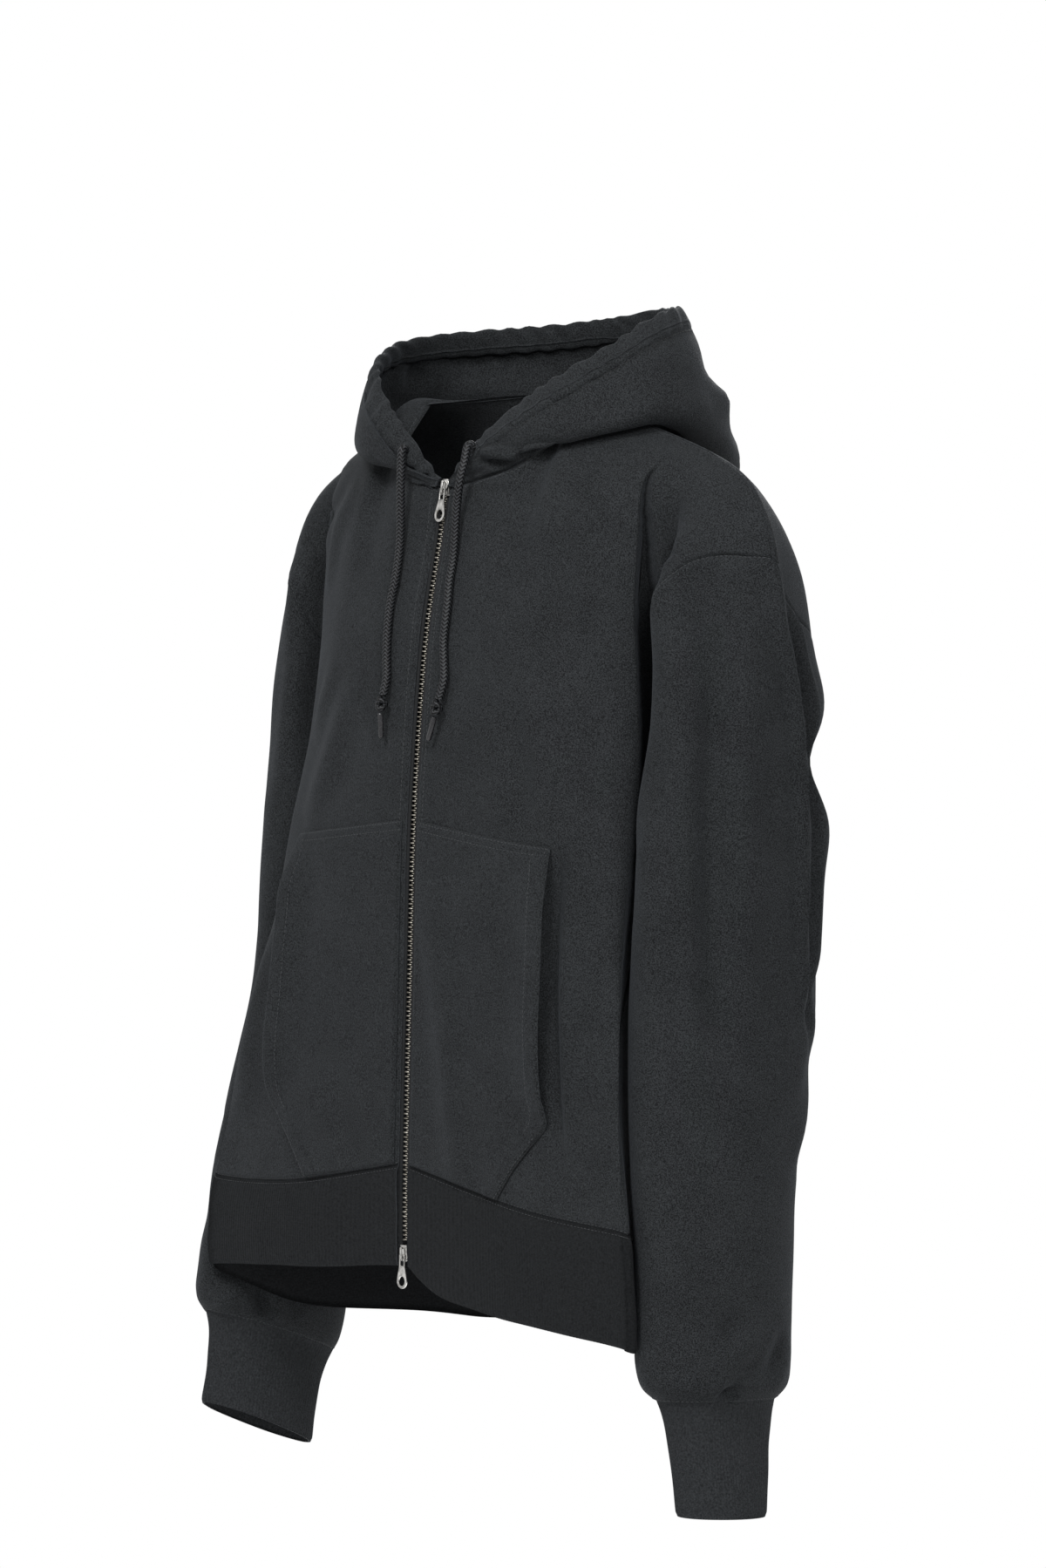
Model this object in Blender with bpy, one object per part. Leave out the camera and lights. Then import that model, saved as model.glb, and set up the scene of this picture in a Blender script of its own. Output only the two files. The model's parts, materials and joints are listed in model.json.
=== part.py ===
"""A zip-up hoodie as it hangs when worn: an empty shell of cloth panels, rib bands, zip and drawcord.

The wearer faces -Y, the wearer's left is +X and +Z is up. The origin is the middle of the neck opening,
level with the high points of the shoulders. All sizes are in metres.
"""

import math

import bmesh
import bpy
import numpy as np
from mathutils import Matrix, Vector
from mathutils.bvhtree import BVHTree

LEFT, RIGHT = 1, -1
WORDS = {LEFT: "left", RIGHT: "right"}

# Cloth
CLOTH = 0.0022
RIB_CLOTH = 0.0028
POCKET_CLOTH = 0.0020
SEAM_GAP = 0.0004

# The grid that every body panel is laid on
PANEL_ROWS = 18
UNDERARM_ROW = 10
SIDE_COLUMN = 19
NECK_COLUMN = 8
NECK_CORNER_ROWS = 4
# The right side seam hangs this much higher at the hem.
RIGHT_SIDE_RISE = 0.018

# Sleeves and cuffs
SLEEVE_ROWS = 16
SLEEVE_SEAM_HEIGHT = -0.752
SLEEVE_MIDDLE = (0.240, 0.010)
ARMHOLE_BLEND = 0.085
ARMHOLE_FOLD_ROOM = 0.0009
ELBOW_HEIGHT = -0.500
CUFF_LENGTH = {LEFT: 0.088, RIGHT: 0.0735}
CUFF_ROWS = 3
CUFF_FOLLOWS = 0.35
CUFF_TILT_PIVOT = 0.0055
CUFF_TILT_START = -0.450
CUFF_TILT_SPAN = 0.300

# Waistband
WAISTBAND_ROWS = 3
WAISTBAND_SWELL = 0.012
WAISTBAND_SWELL_ROUND = 0.35
WAISTBAND_FLARE = 0.030
WAISTBAND_FRONT_Y = -0.075

# Hood
HOOD_AXIS_Y = 0.020
HOOD_ROWS = 12
CASING_WIDTH = 0.022
CASING_THICKNESS = 0.0066
CASING_SIDES = 10
CASING_EDGE = 0.0008
CASING_SHARE = 0.6
CASING_THICKNESS_SHARE = 0.5
HOOD_PATH_POINTS = 90

# Pocket
POCKET_ROWS = 12
POCKET_COLUMNS = 8
POCKET_GAPE = 0.0110
POCKET_FULLNESS = 0.0025
POCKET_ABOVE_SEAM = 0.0012
POCKET_INNER_X = 0.0095
POCKET_TOP_AT_ZIP = -0.3215

# Zip
CHAIN_WIDTH = 0.0058
CHAIN_THICKNESS = 0.0024
TAPE_WIDTH = 0.0095
TAPE_THICKNESS = 0.0009
ZIP_DEPTH = 0.0027
ZIP_BOTTOM = -0.6665
ZIP_STATIONS = 20
TAPE_START = 0.0080
SLIDER_WIDTH = 0.0094
SLIDER_LENGTH = 0.0125
SLIDER_PLATE = 0.0012
SLIDER_MOUTH = 0.0032
SLIDER_TOP_HEIGHT = -0.0660
SLIDER_BOTTOM_HEIGHT = -0.6560
PULL_LENGTH = 0.0265
PULL_THICKNESS = 0.0012
PULL_RING_RADIUS = 0.0045
PULL_HOLE_RADIUS = 0.0024
PULL_ARM_HALF = 0.0032
PULL_WINDOW_HALF = 0.0021
PULL_WINDOW_DROP = 0.0080
PULL_BAR_HALF = 0.0006
PULL_LEAN = math.radians(2.5)
SLIDER_BRIDGE = 0.0036
PULL_BAR_DEPTH = SLIDER_MOUTH / 2 + SLIDER_PLATE + 0.0010
PULL_BAR_DROP = 0.0018

# Drawcord
CORD_DIAMETER = 0.0066
CORD_POINT_SPACING = 2.4 * CORD_DIAMETER
CORD_CLEARANCE = 0.0006
CORD_BEND = 0.0043
CORD_HANG_Y = -0.0790
EYELET_COLUMN = 2.3
KNOT_LIFT = 0.024
KNOT_LENGTH = 0.0125
KNOT_DIAMETER = 0.0125
AGLET_LENGTH = 0.0190
AGLET_DIAMETER = 0.0044

# Each line runs down a panel: its grid column, then stations of (grid row, x, y, z).
FRONT_LINES = (
    # front edge, beside the zip
    (0, ((0, 0.0065, -0.0660, -0.0660), (2, 0.0065, -0.0730, -0.1120), (4, 0.0065, -0.0835, -0.1620),
         (6, 0.0065, -0.0900, -0.2130), (8, 0.0065, -0.0945, -0.2650), (10, 0.0065, -0.0985, -0.3200),
         (14, 0.0065, -0.1030, -0.4520), (18, 0.0065, -0.1070, -0.5880))),
    # down the chest from the front of the neckline
    (3, ((0, 0.0480, -0.0615, -0.0570), (4, 0.0620, -0.0830, -0.1640), (10, 0.0740, -0.0975, -0.3220),
         (18, 0.0900, -0.1090, -0.6030))),
    # from the side of the neckline
    (6, ((0, 0.0850, -0.0410, -0.0370), (4, 0.0980, -0.0780, -0.1560), (10, 0.1150, -0.0925, -0.3240),
         (18, 0.1380, -0.1090, -0.6110))),
    # from the high point of the shoulder
    (8, ((0, 0.1000, 0.0000, 0.0000), (1, 0.1060, -0.0310, -0.0270), (2, 0.1100, -0.0510, -0.0610),
         (4, 0.1170, -0.0700, -0.1380), (10, 0.1400, -0.0860, -0.3260), (18, 0.1680, -0.1070, -0.6150))),
    # the ridge in front of the armhole crease
    (13, ((0, 0.1900, 0.0270, -0.0340), (1, 0.1900, -0.0070, -0.0480), (2, 0.1890, -0.0210, -0.0710),
          (4, 0.1870, -0.0300, -0.1330), (6, 0.1860, -0.0330, -0.1970), (8, 0.1890, -0.0375, -0.2620),
          (10, 0.1960, -0.0460, -0.3280), (12, 0.2040, -0.0610, -0.4000), (14, 0.2180, -0.0770, -0.4700),
          (18, 0.2430, -0.0980, -0.6220))),
    # the bottom of the crease
    (15, ((0, 0.2060, 0.0310, -0.0410), (1, 0.2060, 0.0010, -0.0560), (2, 0.2060, -0.0050, -0.0760),
          (4, 0.2000, -0.0020, -0.1300), (6, 0.1900, -0.0080, -0.1960), (8, 0.1870, -0.0100, -0.2620),
          (10, 0.1800, -0.0120, -0.3270), (12, 0.1850, -0.0390, -0.3990), (14, 0.2090, -0.0710, -0.4710),
          (18, 0.2475, -0.0970, -0.6230))),
    # the cap, between the crease and the sleeve seam
    (17, ((0, 0.2500, 0.0280, -0.0620), (1, 0.2430, 0.0040, -0.0770), (2, 0.2330, -0.0140, -0.0930),
          (3, 0.2220, -0.0260, -0.1130), (4, 0.2120, -0.0290, -0.1380), (5, 0.2020, -0.0170, -0.1680),
          (6, 0.1940, -0.0020, -0.2000), (8, 0.1900, 0.0010, -0.2650), (10, 0.1800, 0.0040, -0.3260),
          (12, 0.1760, -0.0240, -0.3985), (14, 0.2000, -0.0620, -0.4715), (18, 0.2500, -0.0945, -0.6240))),
    # the armhole, then the side seam
    (19, ((0, 0.2900, 0.0240, -0.1180), (1, 0.2720, 0.0060, -0.1145), (2, 0.2535, -0.0095, -0.1150),
          (3, 0.2365, -0.0250, -0.1220), (4, 0.2200, -0.0430, -0.1440), (5, 0.2090, -0.0330, -0.1750),
          (6, 0.2020, -0.0120, -0.2060), (8, 0.1970, 0.0040, -0.2680), (10, 0.1860, 0.0180, -0.3250),
          (11, 0.1740, 0.0080, -0.3600), (12, 0.1720, -0.0120, -0.3970), (14, 0.1890, -0.0510, -0.4720),
          (18, 0.2470, -0.0905, -0.6250))),
)
BACK_LINES = (
    # centre back
    (0, ((0, 0.0000, 0.0780, 0.0050), (2, 0.0000, 0.1010, -0.0450), (4, 0.0000, 0.1190, -0.1050),
         (6, 0.0000, 0.1290, -0.1650), (8, 0.0000, 0.1330, -0.2280), (10, 0.0000, 0.1340, -0.3000),
         (14, 0.0000, 0.1300, -0.4600), (18, 0.0000, 0.1240, -0.6430))),
    # from halfway round the back of the neck
    (4, ((0, 0.0550, 0.0660, 0.0060), (4, 0.0600, 0.1150, -0.1050), (10, 0.0700, 0.1290, -0.3010),
         (18, 0.0800, 0.1180, -0.6430))),
    # from the high point of the shoulder
    (8, ((0, 0.1000, 0.0000, 0.0000), (1, 0.1040, 0.0340, -0.0140), (2, 0.1080, 0.0620, -0.0400),
         (4, 0.1160, 0.0980, -0.1050), (10, 0.1300, 0.1190, -0.3020), (14, 0.1300, 0.1120, -0.4600),
         (18, 0.1400, 0.1000, -0.6430))),
    # the ridge behind the armhole
    (13, ((0, 0.1900, 0.0270, -0.0340), (1, 0.1930, 0.0560, -0.0480), (2, 0.1960, 0.0780, -0.0750),
          (4, 0.2000, 0.0990, -0.1350), (6, 0.1940, 0.1040, -0.1980), (8, 0.1840, 0.1030, -0.2620),
          (10, 0.1700, 0.0960, -0.3150), (14, 0.1660, 0.0780, -0.4640), (18, 0.1860, 0.0550, -0.6420))),
    # down into the crease
    (15, ((0, 0.2060, 0.0310, -0.0410), (1, 0.2160, 0.0560, -0.0600), (2, 0.2220, 0.0760, -0.0880),
          (4, 0.2220, 0.0980, -0.1490), (6, 0.2030, 0.0960, -0.2090), (8, 0.1880, 0.0840, -0.2730),
          (10, 0.1680, 0.0700, -0.3220), (14, 0.1690, 0.0300, -0.4670), (18, 0.1980, -0.0100, -0.6390))),
    # beside the sleeve seam
    (17, ((0, 0.2500, 0.0280, -0.0620), (1, 0.2510, 0.0500, -0.0870), (2, 0.2480, 0.0710, -0.1140),
          (4, 0.2360, 0.0960, -0.1680), (6, 0.2110, 0.0920, -0.2280), (8, 0.1920, 0.0700, -0.2850),
          (10, 0.1720, 0.0400, -0.3250), (12, 0.1670, 0.0180, -0.3980), (14, 0.1720, -0.0150, -0.4700),
          (18, 0.2110, -0.0620, -0.6330))),
    # the armhole, then the side seam
    (19, ((0, 0.2900, 0.0240, -0.1180), (1, 0.2810, 0.0370, -0.1430), (2, 0.2710, 0.0560, -0.1620),
          (3, 0.2600, 0.0770, -0.1740), (4, 0.2470, 0.0920, -0.1920), (5, 0.2330, 0.0960, -0.2170),
          (6, 0.2200, 0.0880, -0.2440), (8, 0.2020, 0.0600, -0.2930), (10, 0.1860, 0.0180, -0.3250),
          (11, 0.1740, 0.0080, -0.3600), (12, 0.1720, -0.0120, -0.3970), (14, 0.1890, -0.0510, -0.4720),
          (18, 0.2470, -0.0905, -0.6250))),
)

# Hem of the waistband: share of the way from the zip to the centre back, height on the left, on the right.
HEM = (
    (0.00, -0.6670, -0.6660),
    (0.026, -0.6850, -0.6680),
    (0.06, -0.6910, -0.6720),
    (0.20, -0.7010, -0.6780),
    (0.40, -0.7120, -0.6870),
    (0.50, -0.7130, -0.6900),
    (0.56, -0.7160, -0.7130),
    (0.65, -0.7220, -0.7260),
    (1.00, -0.7270, -0.7270),
)

# Sections across a sleeve: height, centre x and y, half size across and half size front to back.
SLEEVE_SECTIONS = (
    (-0.120, 0.2220, 0.0350, 0.0660, 0.0760),
    (-0.200, 0.2225, 0.0350, 0.0560, 0.0780),
    (-0.270, 0.2250, 0.0320, 0.0510, 0.0800),
    (-0.360, 0.2280, 0.0270, 0.0480, 0.0840),
    (-0.455, 0.2290, 0.0190, 0.0470, 0.0840),
    (-0.550, 0.2430, -0.0020, 0.0450, 0.0750),
    (-0.650, 0.2560, -0.0140, 0.0430, 0.0690),
    (-0.715, 0.2620, -0.0200, 0.0430, 0.0665),
    (-0.738, 0.2640, -0.0210, 0.0410, 0.0650),
)
# The section gathered into each cuff seam.
SLEEVE_ENDS = {
    LEFT: (-0.752, 0.2650, -0.0200, 0.0310, 0.0525),
    RIGHT: (-0.752, 0.2650, -0.0200, 0.0330, 0.0580),
}
# How the right arm hangs apart from the left: shift of its end and the tilt of its cuff seam.
ARM_SHIFT = {LEFT: (0.0, 0.0), RIGHT: (0.009, -0.0025)}
CUFF_TILT = {LEFT: math.radians(2.0), RIGHT: math.radians(19.0)}
# Sections across a cuff: share of its length, centre shift in x and y, half size across and front to back.
CUFF_SECTIONS = {
    LEFT: ((0.0, 0.0000, 0.0000, 0.0310, 0.0525), (0.3, 0.0020, 0.0010, 0.0290, 0.0480),
           (1.0, 0.0070, 0.0010, 0.0260, 0.0375)),
    RIGHT: ((0.0, 0.0000, 0.0000, 0.0330, 0.0580), (0.3, 0.0020, 0.0000, 0.0310, 0.0545),
            (1.0, 0.0050, 0.0000, 0.0290, 0.0500)),
}
# Long soft folds down a sleeve: angle round it, half width in degrees, height of the crest, top and bottom.
SLEEVE_FOLDS = (
    (38.0, 22.0, 0.0050, -0.14, -0.62),
    (68.0, 16.0, -0.0045, -0.18, -0.58),
    (-40.0, 20.0, -0.0030, -0.30, -0.70),
    (160.0, 24.0, -0.0030, -0.36, -0.68),
)

# Sections of the fallen hood, in upright half planes about its axis: heading from the front in degrees, then
# radius and height of its floor, its lowest roll, its widest roll, a point halfway up and its rim.
HOOD_SECTIONS = {
    LEFT: (
        (4, 0.0860, -0.0645, 0.0858, -0.0635, 0.0856, -0.0625, 0.0852, -0.0610, 0.0846, -0.0590),
        (25, 0.0935, -0.0530, 0.0960, -0.0500, 0.0970, -0.0450, 0.0940, -0.0370, 0.0860, -0.0270),
        (45, 0.1080, -0.0415, 0.1130, -0.0400, 0.1150, -0.0350, 0.1120, -0.0190, 0.1020, -0.0015),
        (62, 0.1170, -0.0190, 0.1300, -0.0300, 0.1370, -0.0230, 0.1350, -0.0020, 0.1220, 0.0230),
        (78, 0.1200, 0.0030, 0.1450, -0.0190, 0.1580, -0.0150, 0.1530, 0.0120, 0.1330, 0.0450),
        (93, 0.1200, 0.0060, 0.1530, -0.0105, 0.1680, -0.0060, 0.1600, 0.0260, 0.1370, 0.0660),
        (110, 0.1180, 0.0050, 0.1500, -0.0170, 0.1660, -0.0110, 0.1530, 0.0270, 0.1280, 0.0730),
        (140, 0.1080, -0.0380, 0.1330, -0.0850, 0.1630, -0.0420, 0.1370, 0.0120, 0.1110, 0.0720),
        (180, 0.1000, -0.0600, 0.1250, -0.1400, 0.1660, -0.0800, 0.1560, 0.0000, 0.1330, 0.0740),
    ),
    RIGHT: (
        (4, 0.0860, -0.0645, 0.0858, -0.0635, 0.0856, -0.0625, 0.0852, -0.0610, 0.0846, -0.0590),
        (25, 0.0935, -0.0530, 0.0990, -0.0510, 0.1020, -0.0450, 0.1000, -0.0380, 0.0930, -0.0290),
        (45, 0.1100, -0.0420, 0.1230, -0.0420, 0.1300, -0.0330, 0.1240, -0.0100, 0.1110, 0.0030),
        (62, 0.1180, -0.0190, 0.1370, -0.0340, 0.1440, -0.0270, 0.1380, 0.0020, 0.1280, 0.0290),
        (78, 0.1210, 0.0030, 0.1480, -0.0190, 0.1590, -0.0170, 0.1510, 0.0150, 0.1390, 0.0430),
        (93, 0.1210, 0.0060, 0.1540, -0.0095, 0.1690, -0.0080, 0.1610, 0.0220, 0.1490, 0.0510),
        (110, 0.1180, 0.0050, 0.1510, -0.0170, 0.1690, -0.0120, 0.1600, 0.0190, 0.1500, 0.0560),
        (140, 0.1080, -0.0380, 0.1330, -0.0900, 0.1640, -0.0450, 0.1500, 0.0060, 0.1400, 0.0620),
        (180, 0.1000, -0.0600, 0.1250, -0.1400, 0.1660, -0.0800, 0.1560, 0.0000, 0.1330, 0.0740),
    ),
}

# Outer edge of a pocket: share of the way down, x, z. The last two stations are its slanting lower seam.
POCKET_EDGE = (
    (0.00, 0.1500, -0.3380),
    (0.16, 0.1560, -0.3810),
    (0.36, 0.1595, -0.4370),
    (0.50, 0.1620, -0.4760),
    (0.62, 0.1660, -0.5150),
    (0.74, 0.1680, -0.5460),
    (1.00, 0.1170, -0.6020),
)

# Free ends of the drawcord, below the eyelet: x and z. They lie on the chest where they reach it.
CORD_ROUTES = {
    LEFT: ((0.0370, -0.0530), (0.0310, -0.0800), (0.0290, -0.1000), (0.0280, -0.1180), (0.0280, -0.1390),
           (0.0300, -0.1600), (0.0295, -0.1790), (0.0320, -0.1950), (0.0357, -0.2134), (0.0335, -0.2280)),
    RIGHT: ((-0.0370, -0.0530), (-0.0372, -0.0717), (-0.0380, -0.1075), (-0.0380, -0.1386),
            (-0.0400, -0.1590), (-0.0395, -0.1780), (-0.0384, -0.1930), (-0.0350, -0.2090),
            (-0.0342, -0.2270)),
}
AGLET_LEAN = {LEFT: -0.35, RIGHT: 0.12}


def clear_scene():
    for old in list(bpy.data.objects):
        bpy.data.objects.remove(old, do_unlink=True)


def material(name, colour, roughness, metallic=0.0):
    made = bpy.data.materials.new(name)
    made.use_nodes = True
    shader = made.node_tree.nodes["Principled BSDF"]
    shader.inputs["Base Color"].default_value = (*colour, 1.0)
    shader.inputs["Roughness"].default_value = roughness
    shader.inputs["Metallic"].default_value = metallic
    return made


def fleece():
    return material("fleece", (0.020, 0.024, 0.027), 0.92)


def rib_knit():
    return material("rib knit", (0.018, 0.022, 0.025), 0.94)


def zip_tape():
    return material("zip tape", (0.012, 0.013, 0.015), 0.85)


def zip_metal():
    return material("nickel", (0.62, 0.61, 0.58), 0.28, 1.0)


def braid():
    return material("braided cord", (0.012, 0.013, 0.015), 0.7)


def aglet_plastic():
    return material("aglet", (0.008, 0.008, 0.009), 0.2)


def smooth(knots, values, wanted):
    """Values at the wanted places on a smooth curve that passes through the given values at their knots."""
    knots = np.asarray(knots, float)
    values = np.asarray(values, float)
    wanted = np.asarray(wanted, float)
    slopes = np.gradient(values, knots, axis=0)
    place = np.clip(np.searchsorted(knots, wanted, side="right") - 1, 0, len(knots) - 2)
    width = knots[place + 1] - knots[place]
    share = np.clip((wanted - knots[place]) / width, 0.0, 1.0)
    shape = share.shape + (1,) * (values.ndim - 1)
    share = share.reshape(shape)
    width = width.reshape(shape)
    start, end = values[place], values[place + 1]
    start_slope, end_slope = slopes[place] * width, slopes[place + 1] * width
    square, cube = share**2, share**3
    return (
        (2 * cube - 3 * square + 1) * start
        + (cube - 2 * square + share) * start_slope
        + (3 * square - 2 * cube) * end
        + (cube - square) * end_slope
    )


def ease(share):
    share = np.clip(share, 0.0, 1.0)
    return share * share * (3 - 2 * share)


def unit(vectors):
    return vectors / np.maximum(np.linalg.norm(vectors, axis=-1, keepdims=True), 1e-12)


# Mid-surfaces: every panel is a grid of points, rows down and columns across.


def panel_grid(lines, side):
    """The grid that passes through a panel's named lines, on the wearer's left or right."""
    rows = np.arange(PANEL_ROWS + 1)
    columns = [column for column, _ in lines]
    down = []
    for _, stations in lines:
        table = np.array(stations)
        down.append(smooth(table[:, 0], table[:, 1:], rows))
    across = np.arange(columns[-1] + 1)
    whole = smooth(columns, np.array(down), across)
    corner = columns.index(NECK_COLUMN)
    inner = smooth(columns[: corner + 1], np.array(down[: corner + 1]), across[: NECK_COLUMN + 1])
    outer = smooth(columns[corner:], np.array(down[corner:]), across[NECK_COLUMN:])
    parted = np.concatenate([inner[:-1], outer])
    # The neckline and the shoulder meet at a corner that fades out down the panel.
    fade = ease(rows / NECK_CORNER_ROWS)[None, :, None]
    grid = (parted + (whole - parted) * fade).transpose(1, 0, 2)
    grid[:, :, 0] *= side
    if side == RIGHT:
        # The right side seam hangs a little higher.
        share_across = np.arange(columns[-1] + 1) / columns[-1]
        share_down = rows / PANEL_ROWS
        grid[:, :, 2] += RIGHT_SIDE_RISE * np.outer(share_down**3, share_across**2)
    return grid


def back_grid():
    left = panel_grid(BACK_LINES, LEFT)
    right = panel_grid(BACK_LINES, RIGHT)
    return np.concatenate([right[:, :0:-1], left], axis=1)


def join_seams(front, back):
    """Gives the shoulder seam and the side seam of a front and a back half the same points."""
    for place in ((0, slice(NECK_COLUMN, None)), (slice(UNDERARM_ROW, None), -1)):
        seam = (front[place] + back[place]) / 2
        front[place] = seam
        back[place] = seam


def armhole_ring(front, back):
    """The closed seam line of an armhole: down the front from its top, round the underarm, up the back."""
    return np.concatenate([front[: UNDERARM_ROW + 1, -1], back[UNDERARM_ROW - 1 : 0 : -1, -1]])


def armhole_room(count):
    """Room at the seam for each column of a sleeve: most behind the shoulder, where it folds on the back."""
    share_up = np.clip((np.arange(count) - UNDERARM_ROW) / (count - UNDERARM_ROW), 0.0, 1.0)
    return ARMHOLE_FOLD_ROOM * np.sin(np.pi * share_up) ** 0.5


def sleeve_point(height, angle, side):
    table = np.array((*SLEEVE_SECTIONS, SLEEVE_ENDS[side]))
    section = smooth(-table[:, 0], table[:, 1:], -height)
    drop = ease((ELBOW_HEIGHT - height) / (ELBOW_HEIGHT - SLEEVE_SEAM_HEIGHT))
    shift_x, shift_y = ARM_SHIFT[side]
    x = section[0] + section[2] * math.cos(angle) + drop * shift_x
    y = section[1] + section[3] * math.sin(angle) + drop * shift_y
    return np.array([side * x, y, height])


def sleeve_fold(height, angle):
    """How far the sleeve's long folds stand out at this place."""
    out = 0.0
    fade_in, fade_out = 0.08, 0.10
    for centre, spread, crest, top, bottom in SLEEVE_FOLDS:
        apart = (math.degrees(angle) - centre + 180) % 360 - 180
        fade = ease((top - height) / fade_in) * ease((height - bottom) / fade_out)
        out += crest * fade * math.exp(-((apart / spread) ** 2))
    return out


def sleeve_grid(armhole, side):
    """Columns that leave the armhole, ease on to the sleeve's sections and end at the leaning cuff seam."""
    count = len(armhole)
    slope = math.tan(CUFF_TILT[side])
    shares = np.arange(SLEEVE_ROWS + 1) / SLEEVE_ROWS
    # Rows crowd a little towards the cuff.
    fallen = 1.25 * shares - 0.25 * shares**4
    grid = np.zeros((SLEEVE_ROWS + 1, count, 3))
    for column, start in enumerate(armhole):
        angle = -2 * math.pi * column / count
        end = sleeve_point(SLEEVE_SEAM_HEIGHT, angle, side)
        tilt = -slope * (end[1] + CUFF_TILT_PIVOT)
        apart = start - sleeve_point(start[2], angle, side)
        for row, fall in enumerate(fallen):
            height = start[2] + (SLEEVE_SEAM_HEIGHT - start[2]) * fall
            point = sleeve_point(height, angle, side)
            middle = np.array([side * SLEEVE_MIDDLE[0], SLEEVE_MIDDLE[1], height])
            point = point + unit(point - middle) * sleeve_fold(height, angle)
            point = point + apart * (1 - ease((start[2] - height) / ARMHOLE_BLEND))
            point[2] += tilt * ease((CUFF_TILT_START - height) / CUFF_TILT_SPAN)
            grid[row, column] = point
    return grid


def cuff_grid(seam, side):
    """A cuff hangs nearly square to its seam, which leans where the forearm is turned."""
    centre = seam.mean(axis=0)
    lean = CUFF_TILT[side]
    down = unit(np.array([0.0, -CUFF_FOLLOWS * math.sin(lean), -math.cos(lean)]))
    shares = np.linspace(0.0, 1.0, CUFF_ROWS + 1)
    table = np.array(CUFF_SECTIONS[side])
    sizes = smooth(table[:, 0], table[:, 1:], shares)
    top = sizes[0]
    grid = np.zeros((CUFF_ROWS + 1, len(seam), 3))
    for row, (share, size) in enumerate(zip(shares, sizes)):
        offset = (seam - centre) * np.array([size[2] / top[2], size[3] / top[3], 1.0])
        shift = np.array([side * size[0], size[1], 0.0])
        grid[row] = centre + offset + down * CUFF_LENGTH[side] * share + shift
    return grid


def waistband_grid(fronts, back):
    """From the left front edge right round the body to the right front edge."""
    seam = np.concatenate([fronts[LEFT][-1], back[-1, -2::-1], fronts[RIGHT][-1, -2::-1]])
    half = (len(seam) - 1) // 2
    share_round = np.concatenate([np.arange(half + 1), np.arange(half - 1, -1, -1)]) / half
    table = np.array(HEM)
    near_zip, front_fade = 0.08, 0.018
    grid = np.zeros((WAISTBAND_ROWS + 1, len(seam), 3))
    for column, point in enumerate(seam):
        hem = smooth(table[:, 0], table[:, 1 if column <= half else 2], share_round[column])
        at_front = ease(share_round[column] / near_zip)
        at_front *= ease((WAISTBAND_FRONT_Y - point[1]) / front_fade)
        fullness = WAISTBAND_SWELL * (WAISTBAND_SWELL_ROUND + (1 - WAISTBAND_SWELL_ROUND) * at_front)
        for row in range(WAISTBAND_ROWS + 1):
            share = row / WAISTBAND_ROWS
            swell = fullness * math.sin(math.pi * share)
            grid[row, column] = (
                point[0] * (1.0 + swell + WAISTBAND_FLARE * share * at_front),
                point[1] * (1.0 + swell),
                point[2] + (hem - point[2]) * share,
            )
    return grid


def path_lengths(path):
    """Distance along a path to each of its points."""
    return np.concatenate([[0.0], np.cumsum(np.linalg.norm(np.diff(path, axis=0), axis=1))])


def along_path(lengths, path, wanted):
    return np.stack([np.interp(wanted, lengths, path[:, axis]) for axis in range(3)], axis=1)


def hood_half(front, back_half, side):
    """One half of the hood, from its seam round the neck, out and down over the shoulder, up to the rim.

    Returns the cloth grid, which stops below the casing, then the rim points, the directions that lead up to
    them and the casing's width at each.
    """
    neck = np.concatenate([front[0, : NECK_COLUMN + 1], back_half[0, NECK_COLUMN - 1 :: -1]])
    from_axis = neck - np.array([0.0, HOOD_AXIS_Y, 0.0])
    headings = np.degrees(np.arctan2(np.abs(from_axis[:, 0]), -from_axis[:, 1]))
    table = np.array(HOOD_SECTIONS[side])
    sections = smooth(table[:, 0], table[:, 1:].reshape(len(table), -1, 2), headings)
    grid = np.zeros((HOOD_ROWS + 1, len(neck), 3))
    rims = np.zeros((len(neck), 3))
    leads = np.zeros((len(neck), 3))
    widths = np.zeros(len(neck))
    for column, section in enumerate(sections):
        heading = math.radians(headings[column])
        radial = np.array([side * math.sin(heading), -math.cos(heading), 0.0])
        axis = np.array([0.0, HOOD_AXIS_Y, 0.0])
        points = [axis + radius * radial + np.array([0, 0, height]) for radius, height in section]
        stations = np.array([neck[column], *points])
        lengths = path_lengths(stations)
        path = smooth(lengths, stations, np.linspace(0, lengths[-1], HOOD_PATH_POINTS))
        lengths = path_lengths(path)
        casing_width = min(CASING_WIDTH, CASING_SHARE * lengths[-1])
        wanted = np.linspace(0, lengths[-1] - casing_width - SEAM_GAP, HOOD_ROWS + 1)
        grid[:, column] = along_path(lengths, path, wanted)
        foot = along_path(lengths, path, [lengths[-1] - casing_width])[0]
        rims[column] = path[-1]
        leads[column] = unit(path[-1] - foot)
        widths[column] = np.linalg.norm(path[-1] - foot)
    grid[:, -1, 0] = 0.0
    return grid, rims, leads, widths


def pocket_fullness(across, down):
    """How far the pocket stands off the panel: a little fullness, and the gape along its opening."""
    opening_starts, top_fade, bottom_end, bottom_fade = 0.70, 0.18, 0.76, 0.16
    fullness = POCKET_FULLNESS * math.sin(math.pi * across) * math.sin(math.pi * down)
    gape = POCKET_GAPE * ease((across - opening_starts) / (1 - opening_starts))
    return fullness + gape * ease(down / top_fade) * ease((bottom_end - down) / bottom_fade)


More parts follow.
